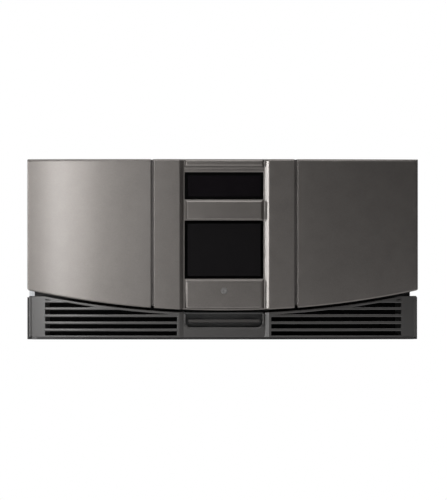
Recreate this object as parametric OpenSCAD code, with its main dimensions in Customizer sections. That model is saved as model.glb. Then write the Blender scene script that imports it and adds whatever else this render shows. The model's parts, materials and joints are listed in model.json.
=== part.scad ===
// Rack-mounted data tape library: five rack units, two magazines of fifteen
// cartridges, a pick-and-place robot in the middle aisle and two tape drives.
// Millimetres, +X right, +Y to the rear, +Z up. Origin: centre of the base.

/* [Rack front] */
// Width of a rack ear, beside the chassis
ear_w = 19.3; // [18:0.1:20]
// Distance from a rack screw to the outer edge of its ear
ear_hole_x = 8.75; // [8:0.05:10]
// Height of the lower rack screws
rack_low_z = 38.1; // [37:0.05:39]
// Distance from the lower to the upper rack screws
rack_pitch_z = 146.05; // [140:0.05:147]
// Radius of the rack screw holes
rack_hole_r = 3.55; // [3.2:0.05:3.8]
// How far the front stands above the chassis
front_over = 3.25; // [2:0.05:4]

/* [Doors] */
// Distance from the middle to the groove beside a door
groove_x = 88.6; // [84:0.1:92]
// Width of that groove
groove_w = 3.7; // [2:0.1:5]
// How far the door curves back at its outer edge
door_drop = 30; // [25:1:32]
// Thickness of the door and bezel skins
skin = 3; // [2.4:0.1:3]
// Distance from the door's outer edge to its hinge pin
pin_inset = 8.3; // [8.1:0.1:8.6]
// Radius of the hinge pins
pin_r = 2.5; // [2:0.1:2.6]
// Lowest point of the curved bottom edge, in the middle
smile_z = 35.5; // [34:0.1:37]
// Radius of the curved bottom edge
smile_r = 1170; // [1150:5:1300]
// Radius of the door lock pins
lock_r = 3; // [2.4:0.1:3.1]
// Height of the door lock pins
lock_z = 130; // [110:1:150]

/* [Middle column] */
// Half width of the recessed middle column
column_x = 50.2; // [49:0.1:53]
// Depth of the recess
recess = 5; // [4:0.1:6]
// Width of the sloped side of the recess
recess_slope = 4.8; // [2:0.1:5]
// Width of the viewing window and of the screen
glass_w = 97.2; // [92:0.1:98]
// Distance from the top of the front to the viewing window
window_drop = 16.45; // [16:0.05:20]
// Height of the viewing window
window_h = 33.2; // [28:0.1:36]
// Distance from the viewing window down to the screen
bar_h = 26.2; // [20:0.1:32]
// Distance from the curved edge up to the screen
panel_h = 39.3; // [38:0.1:50]
// Width of the black border of the window and the screen
border = 3.6; // [2:0.1:5]
// Radius of the power button
button_r = 3.8; // [3:0.1:4.5]
// Distance from the screen down to the power button's centre
button_drop = 14.8; // [12:0.5:22]

/* [Lower grille] */
// How far the grille stands behind the front plane
grille_back = 2; // [1:0.1:3]
// Depth of the grille's recess in the middle
grille_recess = 3; // [1:0.1:4]
// Height of a louvre slot
slot_h = 5.3; // [3:0.1:6]
// Distance from one louvre slot to the next
slot_pitch = 8.75; // [8.5:0.05:9]
// Distance from the middle to the louvres' inner end
louvre_x0 = 58; // [57.5:0.1:62]
// Distance from the outer edge to the louvres' outer end
louvre_inset = 21.3; // [20:0.1:30]
// Height of the lowest louvre slot's centre
slot_z0 = 7.5; // [6:0.1:8]
// Number of louvre slots
slots = 6; // [4:1:6]
// Width of the finger recess
pull_w = 95; // [80:1:100]
// Bottom of the finger recess
pull_z0 = 15; // [14:0.1:16]
// Top of the finger recess
pull_z1 = 32; // [31:0.1:32]
// Depth of the finger recess
pull_depth = 28; // [20:1:34]

/* [Chassis] */
// Sheet metal thickness
sheet = 1.5; // [1:0.1:1.6]
// Thickness of the front frame
frame_t = 2.5; // [2:0.1:3]
// Distance from the front plane to the front frame
frame_back = 46; // [45.8:0.1:48]
// Gap between a magazine and the side wall
side_gap = 5; // [4:0.5:8]
// Gap between a magazine and the roof
roof_gap = 5; // [4:0.5:8]
// Gap between the magazines and the bulkhead behind them
bay_gap = 35.5; // [34:0.5:60]
// How far the handles stand out from the rear modules
handle_out = 11.5; // [10:0.5:20]

/* [Cartridges and magazines] */
// Depth of a cartridge
tape_d = 102; // [101:0.1:102.2]
// Width of a cartridge
tape_w = 105.4; // [105:0.1:105.6]
// Thickness of a cartridge
tape_h = 21.5; // [21:0.1:21.8]
// Rows in a magazine
rows = 5; // [4:1:5]
// Columns in a magazine
columns = 3; // [2:1:3]
// Height from one row to the next
row_pitch = 28; // [27:0.1:28]
// Half width of the robot's aisle between the magazines
aisle_x = 109; // [106:0.5:114]
// Bottom of a magazine
mag_z0 = 66; // [66:0.1:70]
// Distance from the front plane to the magazines
mag_back = 85; // [83:0.5:95]

/* [Robot] */
// Height of the lift platform at rest
platform_z = 96; // [90:1:100]
// Radius of the track rails
rail_r = 4; // [3:0.1:4.2]
// Distance of the track rails from the middle
rail_x = 55; // [53:0.5:57]
// Height of the track rails
rail_z = 14; // [13:0.1:15]
// Radius of the mast rods
mast_r = 4; // [3:0.1:4.5]
// Distance from the mast rods to the aisle's sides
mast_inset = 14; // [13:0.1:15]
// Radius of the lift screw
screw_r = 4; // [3:0.1:4.2]
// Radius of the belt pulleys
pulley_r = 5; // [4.5:0.1:5.2]
// Radius of the turntable's hub
hub_r = 6; // [5:0.1:8]

/* [Rear modules] */
// Width of a tape drive
drive_w = 146; // [140:0.5:148]
// Length of a tape drive
drive_d = 205; // [190:1:240]
// Height of a power supply
supply_h = 56; // [52:0.5:58]
// Length of a power supply
supply_d = 194; // [150:1:200]
// Length of the controller board
card_d = 173; // [150:1:200]
// Radius of the fan rotors
fan_r = 21; // [18:0.1:22]

/* [Hidden] */
$fn = 64;
arc_fn = 360;
eps = 0.01;
plate_x = column_x - 1.5;
plate_back = 2.5;
clear = 0.3;
run_gap = 0.05;
mag_w = tape_d + 6;
mag_x0 = aisle_x;
mag_x1 = mag_x0 + mag_w;
wall_x = mag_x1 + side_gap;
half_w = wall_x + ear_w;
rack_x = half_w - ear_hole_x;
column_pitch = tape_w + 2.6;
mag_len = columns * column_pitch + 3;
mag_h = rows * row_pitch + 8;
pocket_h = tape_h + 1.5;
pocket_w = tape_w + 0.6;
chassis_h = mag_z0 + mag_h + roof_gap;
roof_z = chassis_h - sheet;
front_h = chassis_h + front_over;
canister_gap = 3;
canister_d = drive_d + 44;
total_depth = mag_back + mag_len + bay_gap + canister_gap + canister_d + handle_out;
y_front = -total_depth / 2;
y_rear = total_depth / 2;
mag_y0 = y_front + mag_back;
bulkhead_y = mag_y0 + mag_len + bay_gap;
canister_y0 = bulkhead_y + canister_gap;
module_y1 = canister_y0 + canister_d;
chassis_y1 = module_y1 - 1;
frame_y = y_front + frame_back;
chassis_y0 = frame_y + frame_t;
door_x0 = groove_x + groove_w / 2;
strip_x1 = groove_x - groove_w / 2;
door_r = (pow(half_w - groove_x, 2) + pow(door_drop, 2)) / (2 * door_drop);
pin_x = half_w - pin_inset;
pin_y = y_front + door_r
    - sqrt(pow(door_r - pin_inset, 2) - pow(pin_x - groove_x, 2));
door_back = y_front + 34;
flange = 12;
knuckle_h = 12;
knuckle_z = [mag_z0 + 2, front_h - 24.25];
ear_t = 4;
ear_r = 4.5;
lock_y = y_front + 21;
latch_x1 = strip_x1 - skin - 3.75;
latch_w = 20;
window_z1 = front_h - window_drop;
window_z0 = window_z1 - window_h;
screen_z1 = window_z0 - bar_h;
screen_z0 = smile_z + panel_h;
button_z = screen_z0 - button_drop;
louvre_x1 = half_w - louvre_inset;
pull_face = y_front + grille_back + grille_recess;
filter_x0 = louvre_x0 + 4;
filter_x1 = mag_x1 - 3;
filter_z0 = 5;
filter_z1 = smile_z + 2;
filter_z2 = mag_z0 - 16;
filter_t = 10;
deck_top = mag_z0 - clear;
robot_y = mag_y0 + 2.5 + pocket_w / 2 + floor(columns / 2) * column_pitch;
carriage_x = aisle_x - 5;
mast_x = aisle_x - mast_inset;
mast_y = robot_y - 68;
mast_top = roof_z - 1.5;
screw_x = mast_x - 15;
screw_y = mast_y - 1;
plate_z = 22;
plate_t = 6;
rail_y0 = chassis_y0 + 7;
rail_y1 = bulkhead_y - 26;
rail_end_t = 7;
belt_x = 30;
belt_z = rail_z + 0.5;
belt_w = 6;
belt_t = 1.2;
belt_top = belt_z + pulley_r + belt_t;
idler_y = rail_y0 + 4;
motor_y = bulkhead_y - 16;
shaft_r = 3;
bracket_x = belt_x - 16;
bracket_t = 6;
motor_x = aisle_x + 9;
motor_w = 32;
picker_w = tape_w + 18;
picker_d = tape_d + 4;
picker_h = tape_h + 9;
picker_z = platform_z + 12;
finger_x = tape_w / 2 + 4.3;
finger_pin_r = 1.5;
finger_y = robot_y + picker_d / 2 - 12;
slide_z = picker_z + 2 + clear;
canister_w = drive_w + 16;
canister_h = (chassis_h - 23) / 2;
canister_z = [8, 12 + canister_h];
drive_h = canister_h - 15.5;
divider_x = canister_w / 2 + 2;
supply_x0 = 7 - wall_x;
supply_x1 = -divider_x - 14;
supply_z = [9, 15 + supply_h];
supply_y0 = module_y1 - supply_d;
card_x0 = divider_x + 15;
card_x1 = wall_x - 10;
card_y0 = chassis_y1 - card_d;
card_z = 18;
card_t = 1.6;
face_z1 = card_z + 40;
socket_z = card_z + card_t;
wall_vent_z = 40;
wall_vent_h = 30;
vent_pitch = 11;
vents = floor((card_x1 - card_x0 - 4) / vent_pitch);
vent_z0 = supply_z[1] + supply_h + 13;
vent_h = (roof_z - vent_z0 - 17.5) / 2;
fan_pin_r = 2;
fan_y = module_y1 - sheet - 5.3;
screw_head_r = 3;
screw_head_h = 1.6;
screw_hole_r = 1.6;
screw_inset = 6;
cover_screw_y = [for (i = [0:4]) chassis_y0 + 17 + i * (chassis_y1 - chassis_y0 - 60) / 4];
rear_screw_z = [20, vent_z0 - 3, chassis_h - 14];
rear_screw_x = wall_x - 3.4;
steel = [0.62, 0.63, 0.65];
dark_grey = [0.24, 0.23, 0.22];
paint = [0.42, 0.40, 0.39];
black = [0.08, 0.08, 0.09];

// A box from its low corner to its high corner
module block(lo, hi) {
    translate(lo) cube(hi - lo);
}

// A rod along X, Y or Z
module rod_x(r, x0, x1, y, z) {
    translate([x0, y, z]) rotate([0, 90, 0]) cylinder(r = r, h = x1 - x0);
}
module rod_y(r, y0, y1, x, z) {
    translate([x, y0, z]) rotate([-90, 0, 0]) cylinder(r = r, h = y1 - y0);
}
module rod_z(r, z0, z1, x, y) {
    translate([x, y, z0]) cylinder(r = r, h = z1 - z0);
}

// An outline in X and Z, from y0 to y1
module linear_extrude_y(y0, y1) {
    translate([0, y1, 0]) rotate([90, 0, 0]) linear_extrude(y1 - y0) children();
}

module both_sides() {
    children();
    mirror([1, 0, 0]) children();
}

// A plate facing the front, with a bevel b all round its front face
module bevel_plate(x0, x1, z0, z1, y0, y1, b) {
    intersection() {
        translate([0, 0, z0]) linear_extrude(z1 - z0)
            polygon([[x0 + b, y0], [x1 - b, y0], [x1, y0 + b], [x1, y1], [x0, y1], [x0, y0 + b]]);
        translate([x0, 0, 0]) rotate([90, 0, 90]) linear_extrude(x1 - x0)
            polygon([[y0, z0 + b], [y0 + b, z0], [y1, z0], [y1, z1], [y0 + b, z1], [y0, z1 - b]]);
    }
}

// Everything above the curved bottom edge, lowered by drop
module above_smile(drop = 0) {
    rod_y(smile_r + drop, y_front - 60, y_front + 90, 0, smile_z + smile_r, $fn = 720);
}

// Plan of the right half of the front, set back from the outer face
module front_plan(set_back) {
    translate([0, y_front + set_back]) square([groove_x, frame_back - set_back]);
    intersection() {
        translate([groove_x, y_front + door_r]) circle(r = door_r - set_back, $fn = arc_fn);
        translate([groove_x, y_front]) square([half_w - groove_x - set_back, frame_back]);
    }
}

// Right door in place: curved skin, edge returns, flanges, hinge knuckles
module door_shape() {
    difference() {
        union() {
            intersection() {
                translate([0, 0, smile_z]) linear_extrude(front_h - smile_z) difference() {
                    intersection() {
                        front_plan(0);
                        translate([door_x0, y_front]) square([half_w - door_x0, door_back - y_front]);
                    }
                    intersection() {
                        front_plan(skin);
                        translate([door_x0 + skin, y_front]) square([half_w, frame_back]);
                    }
                }
                above_smile();
            }
            intersection() {
                door_flange_plan();
                difference() {
                    above_smile();
                    above_smile(-skin);
                }
            }
            intersection() {
                door_flange_plan();
                block([0, y_front, front_h - skin], [half_w, door_back, front_h]);
            }
            for (z = knuckle_z) {
                rod_z(pin_inset - skin + 0.1, z, z + knuckle_h, pin_x, pin_y);
            }
        }
        for (z = knuckle_z) {
            rod_z(pin_r + run_gap, z - 1, z + knuckle_h + 1, pin_x, pin_y);
        }
        rod_x(lock_r + 0.5, door_x0 - 1, door_x0 + skin + 1, lock_y, lock_z);
    }
}

// The door's top and bottom flanges, seen from above
module door_flange_plan() {
    translate([0, 0, smile_z]) linear_extrude(front_h - smile_z) difference() {
        intersection() {
            front_plan(0);
            translate([door_x0, y_front]) square([half_w - door_x0, door_back - y_front]);
        }
        intersection() {
            translate([door_x0 + skin, y_front]) square([half_w - door_x0 - 2 * skin, frame_back]);
            translate([0, flange]) front_plan(0);
        }
    }
}

module left_door() {
    color(paint) mirror([1, 0, 0]) door_shape();
}

module right_door() {
    color(paint) door_shape();
}

// Middle part of the front: two flat strips and a recessed column between them
module center_bezel() {
    color(paint) difference() {
        union() {
            intersection() {
                translate([0, 0, smile_z]) linear_extrude(front_h - smile_z) center_plan();
                above_smile();
            }
            intersection() {
                block([-strip_x1, y_front + recess, smile_z], [strip_x1, y_front + 20, front_h]);
                difference() {
                    above_smile();
                    above_smile(-skin);
                }
            }
            block([-strip_x1, y_front + recess, front_h - skin], [strip_x1, y_front + 30, front_h]);
            bevel_plate(-plate_x, plate_x, front_h - 10, front_h - 0.6,
                        y_front + plate_back, y_front + recess + eps, 2);
        }
        block([-glass_w / 2, y_front, window_z0], [glass_w / 2, y_front + 20, window_z1]);
        block([-glass_w / 2, y_front, screen_z0], [glass_w / 2, y_front + 20, screen_z1]);
        rod_y(button_r + clear, y_front, y_front + 20, 0, button_z);
        both_sides() rod_x(lock_r + clear, strip_x1 - skin - 1, strip_x1 + 1, lock_y, lock_z);
    }
}

module center_plan() {
    x1 = column_x;
    x2 = column_x + recess_slope;
    for (side = [-1, 1]) scale([side, 1]) polygon([
        [0, y_front + recess], [x1, y_front + recess], [x2, y_front],
        [strip_x1, y_front], [strip_x1, frame_y], [strip_x1 - skin, frame_y],
        [strip_x1 - skin, y_front + skin], [x2 + skin / 2, y_front + skin],
        [x1 + skin / 2, y_front + recess + skin], [0, y_front + recess + skin]
    ]);
}

// Raised bar between the viewing window and the screen
module center_bar() {
    color(paint)
        bevel_plate(-plate_x + 1, plate_x - 1, screen_z1 + 0.2, window_z0 - 1,
                    y_front + plate_back - 1, y_front + recess, 2);
}

// Raised panel around the power button
module button_panel() {
    color(paint) difference() {
        intersection() {
            bevel_plate(-plate_x, plate_x, smile_z - 10, screen_z0 - 0.8,
                        y_front + plate_back, y_front + recess, 2);
            above_smile(-2.4);
        }
        rod_y(button_r + clear, y_front, y_front + 20, 0, button_z);
    }
}

module window_gasket() {
    color(black) difference() {
        block([-glass_w / 2, y_front + 5.6, window_z0], [glass_w / 2, y_front + 8, window_z1]);
        block([-glass_w / 2 + border, y_front, window_z0 + border],
              [glass_w / 2 - border, y_front + 20, window_z1 - border]);
    }
}

module view_window() {
    color([0.12, 0.11, 0.13, 0.9])
        block([-glass_w / 2 + border, y_front + 6.2, window_z0 + border],
              [glass_w / 2 - border, y_front + 8, window_z1 - border]);
}

module touch_screen() {
    color([0.07, 0.07, 0.08])
        block([-glass_w / 2, y_front + 5.8, screen_z0], [glass_w / 2, y_front + 7.6, screen_z1]);
}

// Display behind the glass, its board and the switch behind the power button
module display_module() {
    y0 = y_front + 7.6;
    y1 = y0 + 6.4;
    y2 = y1 + 1.6;
    x1 = glass_w / 2;
    color([0.2, 0.22, 0.24]) {
        block([-x1 + 0.5, y0, screen_z0 + 0.5], [x1 - 0.5, y1, screen_z1 - 0.5]);
        block([-x1 - 6, y1, screen_z0 - 24], [x1 + 6, y2, screen_z1 + 4]);
        for (x = [-x1 - 2, x1 + 2]) for (z = [screen_z0 - 20, screen_z1 + 1])
            rod_y(3, y2, frame_y, x, z);
        rod_y(3, y1 - 1, y1, 0, button_z);
        block([-30, y2, screen_z0 + 8], [30, y2 + 4.4, screen_z1 - 20]);
    }
}

module power_button() {
    color([0.5, 0.48, 0.46]) {
        rod_y(button_r, y_front + 1.7, y_front + 9.6, 0, button_z);
        rod_y(button_r + 1.6, y_front + recess + skin + clear, y_front + 9.6, 0, button_z);
    }
}

// Louvred lower front with the finger recess
module lower_grille() {
    gap = 3;
    post_z = 53.5;
    color(dark_grey) difference() {
        union() {
            both_sides() difference() {
                translate([0, 0, skin]) linear_extrude(post_z - skin) grille_plan();
                above_smile(gap);
            }
            grille_pocket(skin);
            grille_lip();
        }
        grille_pocket(0);
        both_sides() intersection() {
            union() for (k = [0:slots - 1]) translate([0, 0, slot_z0 + k * slot_pitch])
                block([louvre_x0, y_front, -slot_h / 2], [louvre_x1, frame_y, slot_h / 2]);
            difference() {
                block([louvre_x0, y_front, 0], [louvre_x1, frame_y, post_z]);
                above_smile(gap + 3.2);
            }
        }
    }
}

// Plan of the grille's right half: skin, middle recess and end post
module grille_plan() {
    x1 = column_x;
    x2 = column_x + recess_slope;
    y0 = y_front + grille_back;
    polygon([
        [0, pull_face], [x1, pull_face], [x2, y0],
        [x2, y0 + skin], [x1, pull_face + skin], [0, pull_face + skin]
    ]);
    difference() {
        front_plan(grille_back);
        difference() {
            front_plan(grille_back + skin);
            translate([half_w - 8, y_front + 20]) square([8, frame_back]);
        }
        translate([0, y_front]) square([x2, frame_back]);
    }
    translate([half_w - grille_back - skin, y_front + 30]) square([skin, frame_back - 30]);
}

// The finger recess, grown by the wall thickness
module grille_pocket(grow) {
    r = 7 + grow;
    z0 = pull_z0 - grow;
    z1 = pull_z1 + grow / 3;
    x = pull_w / 2 + grow;
    y1 = y_front + grille_back + pull_depth + grow;
    y0 = grow > 0 ? pull_face + eps : y_front - 5;
    block([-x, y0, z0 + r], [x, y1, z1]);
    block([-x + r, y0, z0], [x - r, y1, z0 + r + eps]);
    for (side = [-1, 1]) rod_y(r, y0, y1, side * (x - r), z0 + r);
}

// Raised lip along the sides and the bottom of the finger recess
module grille_lip() {
    lip = 1.4;
    difference() {
        intersection() {
            block([-pull_w, pull_face - lip, pull_z0 - 3], [pull_w, pull_face + 0.5, pull_z1 - 1]);
            translate([0, -lip, 0]) grille_pocket(2);
        }
        grille_pocket(0);
    }
}

// Grip bar across the finger recess on two stand-offs
module pull_handle() {
    z0 = pull_z0 + 5.6;
    z1 = pull_z0 + 9.8;
    y1 = y_front + grille_back + pull_depth;
    color([0.2, 0.2, 0.2]) {
        block([-44, y_front + 6, z0], [44, y_front + 10, z1]);
        for (x = [-30, 30]) block([x - 4, y_front + 10, z0], [x + 4, y1, z1]);
    }
}

// Front edge of the base, under the grille
module base_lip() {
    x0 = 236;
    color([0.17, 0.16, 0.16]) linear_extrude(skin) polygon([
        [-x0 + 6, y_front + 26], [-x0 + 60, y_front + 14], [-groove_x, y_front + 7],
        [groove_x, y_front + 7], [x0 - 60, y_front + 14], [x0 - 6, y_front + 26],
        [x0, y_front + 32], [x0, frame_y], [-x0, frame_y], [-x0, y_front + 32]
    ]);
}

// Punched plate with the rack ears
module front_frame() {
    y0 = frame_y - 1;
    y1 = chassis_y0 + 1;
    color(steel) difference() {
        block([-half_w, frame_y, 0], [half_w, chassis_y0, front_h - 0.4]);
        both_sides() {
            block([mag_x0 - 3, y0, mag_z0 - 3], [mag_x1 + 3, y1, mag_z0 + mag_h + 2]);
            block([half_w - 9, y0, mag_z0 - 14], [half_w + 1, y1, mag_z0 - 4]);
            block([filter_x0 + 4, y0, filter_z0 + 4], [filter_x1 - 2, y1, filter_z1 - 4]);
            for (z = [rack_low_z, rack_low_z + rack_pitch_z])
                rod_y(rack_hole_r, y0, y1, rack_x, z);
        }
        block([-glass_w / 2 + 2, y0, screen_z0 + 16], [glass_w / 2 - 2, y1, window_z1]);
    }
}

// Foam pads behind the louvres
module air_filter() {
    color([0.13, 0.13, 0.13]) both_sides()
        linear_extrude_y(frame_y - filter_t, frame_y) polygon([
            [filter_x0, filter_z0], [filter_x1, filter_z0], [filter_x1, filter_z2],
            [door_x0 + skin, filter_z2], [door_x0 + skin, filter_z1], [filter_x0, filter_z1]
        ]);
}

module hinge_brackets() {
    color(steel) both_sides() for (z = knuckle_z)
        for (z0 = [z - clear - ear_t, z + knuckle_h + clear])
            translate([pin_x, pin_y, z0]) linear_extrude(ear_t) difference() {
                union() {
                    circle(r = ear_r);
                    polygon([[-4.4, 0], [0, 4.4], [-4, frame_y - pin_y], [-12, frame_y - pin_y]]);
                }
                circle(r = pin_r);
            }
}

module hinge_pins() {
    color(steel) both_sides() for (z = knuckle_z)
        rod_z(pin_r, z - clear - ear_t, z + knuckle_h + clear + ear_t, pin_x, pin_y);
}

// Solenoids that lock the doors, on brackets in front of the frame
module latch_solenoids() {
    color([0.30, 0.32, 0.30]) both_sides() difference() {
        union() {
            block([latch_x1 - latch_w, lock_y - 9, lock_z - 12], [latch_x1, lock_y + 9, lock_z + 12]);
            block([latch_x1 - latch_w + 2, lock_y + 9, lock_z - 8], [latch_x1 - 2, frame_y, lock_z + 8]);
        }
        rod_x(lock_r + run_gap, latch_x1 - latch_w + 2, latch_x1 + 1, lock_y, lock_z);
    }
}

module lock_pin() {
    rod_x(lock_r, latch_x1 - 12, strip_x1, lock_y, lock_z);
}

module left_lock_pin() {
    color(steel) mirror([1, 0, 0]) lock_pin();
}

module right_lock_pin() {
    color(steel) lock_pin();
}

module base_pan() {
    color(steel) block([-wall_x, chassis_y0, 0], [wall_x, chassis_y1, sheet]);
}

// Side wall with flanges and vents near the rear
module side_wall() {
    difference() {
        union() {
            block([wall_x - sheet, chassis_y0, sheet], [wall_x, chassis_y1, roof_z]);
            block([wall_x - 12, chassis_y0, roof_z - sheet], [wall_x, chassis_y1 - sheet, roof_z]);
            block([wall_x - 6, chassis_y1 - 2 * sheet, sheet], [wall_x, chassis_y1 - sheet, roof_z]);
        }
        for (i = [0:11]) for (z = [wall_vent_z, wall_vent_z + wall_vent_h + 10])
            translate([wall_x - 3, chassis_y1 - 163 + i * 10, z]) cube([4, 5, wall_vent_h]);
        for (y = cover_screw_y) rod_z(screw_hole_r, roof_z - 3, roof_z + 1, wall_x - screw_inset, y);
        for (z = rear_screw_z) rod_y(screw_hole_r, chassis_y1 - 4, chassis_y1, rear_screw_x, z);
    }
}

module left_side_wall() {
    color(steel) mirror([1, 0, 0]) side_wall();
}

module right_side_wall() {
    color(steel) side_wall();
}

module top_cover() {
    color(steel) difference() {
        block([-wall_x, chassis_y0, roof_z], [wall_x, chassis_y1, chassis_h]);
        both_sides() for (y = cover_screw_y)
            rod_z(screw_hole_r, roof_z - 1, chassis_h + 1, wall_x - screw_inset, y);
    }
}

// Rear panel with openings for the drives, supplies and the controller
module rear_panel() {
    y0 = chassis_y1 - 3;
    y1 = chassis_y1 + 1;
    color(steel) difference() {
        block([-wall_x + sheet, chassis_y1 - sheet, sheet], [wall_x - sheet, chassis_y1, roof_z]);
        for (z = canister_z)
            block([-canister_w / 2 - 0.5, y0, z - 0.5], [canister_w / 2 + 0.5, y1, z + canister_h + 0.5]);
        for (z = supply_z)
            block([supply_x0 - 0.5, y0, z - 0.5], [supply_x1 + 0.5, y1, z + supply_h + 0.5]);
        block([card_x0 - 2, y0, card_z - 4], [card_x1 + 1, y1, face_z1 - 2]);
        for (i = [0:vents - 1]) for (z = [vent_z0, vent_z0 + vent_h + 8]) both_sides()
            translate([card_x0 + 4 + i * vent_pitch, y0, z]) cube([6, 4, vent_h]);
        both_sides() for (z = rear_screw_z) rod_y(screw_hole_r, y0, y1, rear_screw_x, z);
    }
}

// Pan head screws of the cover and the rear panel
module cover_screws() {
    color([0.5, 0.5, 0.52]) {
        both_sides() for (y = cover_screw_y) {
            rod_z(screw_head_r, chassis_h, chassis_h + screw_head_h, wall_x - screw_inset, y);
            rod_z(screw_hole_r, roof_z - sheet, chassis_h + eps, wall_x - screw_inset, y);
        }
        both_sides() for (z = rear_screw_z) {
            rod_y(screw_head_r, chassis_y1, chassis_y1 + screw_head_h, rear_screw_x, z);
            rod_y(screw_hole_r, chassis_y1 - 2 * sheet, chassis_y1 + eps, rear_screw_x, z);
        }
    }
}

// Bulkhead, dividers and shelves that hold the drives and the power supplies
module drive_bay() {
    y0 = bulkhead_y + sheet;
    y1 = chassis_y1 - sheet;
    cage_x = supply_x0 - 2;
    shelf_t = 2;
    color(steel) {
        difference() {
            block([-wall_x + sheet, bulkhead_y, sheet], [wall_x - sheet, y0, roof_z - sheet]);
            for (z = canister_z)
                block([-tape_w / 2 - 4, bulkhead_y - 1, z + canister_h / 2 - 15],
                      [tape_w / 2 + 4, y0 + 1, z + canister_h / 2 + 15]);
        }
        both_sides() block([divider_x, y0, sheet], [divider_x + sheet, y1, roof_z - sheet]);
        for (z = canister_z)
            block([-divider_x, y0, z - clear - shelf_t], [divider_x, y1, z - clear]);
        for (z = supply_z)
            block([cage_x, supply_y0, z - clear - shelf_t], [-divider_x, y1 - sheet, z - clear]);
        block([cage_x, supply_y0, sheet], [cage_x + sheet, y1 - sheet, supply_z[1] - clear]);
    }
}

// Decks that carry the magazines, each an upturned channel
module magazine_decks() {
    x0 = mag_x0 - 1;
    x1 = mag_x1 + 2;
    color(steel) both_sides() {
        block([x0, chassis_y0, deck_top - sheet], [x1, bulkhead_y, deck_top]);
        block([x0, chassis_y0, sheet], [x0 + sheet, motor_y - 20, deck_top]);
        block([x1 - sheet, chassis_y0, sheet], [x1, bulkhead_y, deck_top]);
    }
}

// Two rails along the aisle with their end blocks
module track_rails() {
    color([0.75, 0.76, 0.78]) {
        both_sides() rod_y(rail_r, rail_y0, rail_y1, rail_x, rail_z);
        both_sides() for (y = [rail_y0 - 6, rail_y1 - 6]) difference() {
            block([rail_x - 9, y, sheet], [rail_x + 9, y + rail_end_t, rail_z + 6.5]);
            rod_y(rail_r, y - 1, y + rail_end_t + 1, rail_x, rail_z);
        }
    }
}

// Carriage that runs along the aisle and carries the mast
module robot_carriage() {
    clip_x = belt_w / 2 + 3;
    top_t = 5;
    color([0.25, 0.27, 0.3]) difference() {
        union() {
            block([-carriage_x, mast_y - 16, plate_z], [carriage_x, mast_y + 16, plate_z + plate_t]);
            block([-rail_x - 15, mast_y + 16 - eps, plate_z], [rail_x + 15, robot_y + 45, plate_z + plate_t]);
            both_sides() for (y = [robot_y - 50, robot_y + 10])
                block([rail_x - 9, y, rail_z - 8], [rail_x + 9, y + 30, plate_z + eps]);
            block([-carriage_x, mast_y - 7, mast_top - top_t], [carriage_x, mast_y + 7, mast_top]);
            block([belt_x - clip_x, robot_y - 20, belt_top - 3], [belt_x + clip_x, robot_y, plate_z + eps]);
        }
        both_sides() rod_y(rail_r + run_gap, robot_y - 80, robot_y + 60, rail_x, rail_z);
        both_sides() rod_z(mast_r, plate_z - 1, mast_top + 1, mast_x, mast_y);
        rod_z(screw_r + run_gap, plate_z - 1, mast_top + 1, screw_x, screw_y);
        block([belt_x - belt_w / 2 - clear, robot_y - 30, belt_top - belt_t - clear],
              [belt_x + belt_w / 2 + clear, robot_y + 10, belt_top + clear]);
    }
}

module mast_rods() {
    color([0.75, 0.76, 0.78]) both_sides() rod_z(mast_r, plate_z, mast_top, mast_x, mast_y);
}

// Flat stepping motor under the carriage plate
module lift_motor() {
    color([0.15, 0.15, 0.16])
        block([screw_x - 14, screw_y - 14, 6], [screw_x + 14, screw_y + 14, plate_z]);
}

module lift_screw() {
    color(steel) rod_z(screw_r, plate_z + clear, mast_top - 0.5, screw_x, screw_y);
}

module lift_platform() {
    z = platform_z;
    color([0.32, 0.34, 0.37]) difference() {
        union() {
            block([-carriage_x, mast_y - 7, z], [carriage_x, mast_y + 7, z + plate_t]);
            block([-30, mast_y, z], [30, robot_y, z + plate_t]);
            rod_z(50, z, z + plate_t, 0, robot_y);
            block([-carriage_x, mast_y - 7, z], [9 - mast_x, mast_y + 7, z + 24]);
            block([screw_x - 8, mast_y - 9, z], [carriage_x, mast_y + 7, z + 24]);
        }
        both_sides() rod_z(mast_r + run_gap, z - 1, z + 30, mast_x, mast_y);
        rod_z(screw_r + run_gap, z - 1, z + 30, screw_x, screw_y);
        rod_z(hub_r + run_gap, z - 1, z + 30, 0, robot_y);
    }
}

module picker_turntable() {
    color([0.6, 0.62, 0.64]) {
        rod_z(42, platform_z + plate_t + clear, picker_z, 0, robot_y);
        rod_z(hub_r, platform_z + 0.5, platform_z + plate_t + 1, 0, robot_y);
    }
}

// Box that takes one cartridge, open at its mouth
module picker_housing() {
    color([0.2, 0.2, 0.22]) difference() {
        block([-picker_w / 2, robot_y - picker_d / 2, picker_z],
              [picker_w / 2, robot_y + picker_d / 2, picker_z + picker_h]);
        block([-picker_w / 2 + 2, robot_y - picker_d / 2 + 2, picker_z + 2],
              [picker_w / 2 - 2, robot_y + picker_d / 2 + 1, picker_z + picker_h - 2]);
        block([-30, robot_y - 35, picker_z + 5], [30, robot_y + 25, picker_z + picker_h + 1]);
    }
}

module picker_slide() {
    color([0.7, 0.71, 0.73]) {
        block([-finger_x - 2, robot_y - 40, slide_z], [finger_x + 2, finger_y + 3, slide_z + 2]);
        for (x = [-finger_x, finger_x]) rod_z(finger_pin_r, slide_z, slide_z + 9, x, finger_y);
    }
}

// Hooked finger on its pivot, open at rest
module finger() {
    z = slide_z + 2 + clear;
    difference() {
        union() {
            rod_z(2.6, z, z + 6, finger_x, finger_y);
            block([finger_x - 1, finger_y, z], [finger_x + 1.4, finger_y + 15, z + 6]);
            block([finger_x - 3.4, finger_y + 12.5, z], [finger_x + 1.4, finger_y + 15, z + 6]);
        }
        rod_z(finger_pin_r + run_gap, z - 1, z + 7, finger_x, finger_y);
    }
}

module left_finger() {
    color([0.8, 0.6, 0.2]) mirror([1, 0, 0]) finger();
}

module right_finger() {
    color([0.8, 0.6, 0.2]) finger();
}

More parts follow.
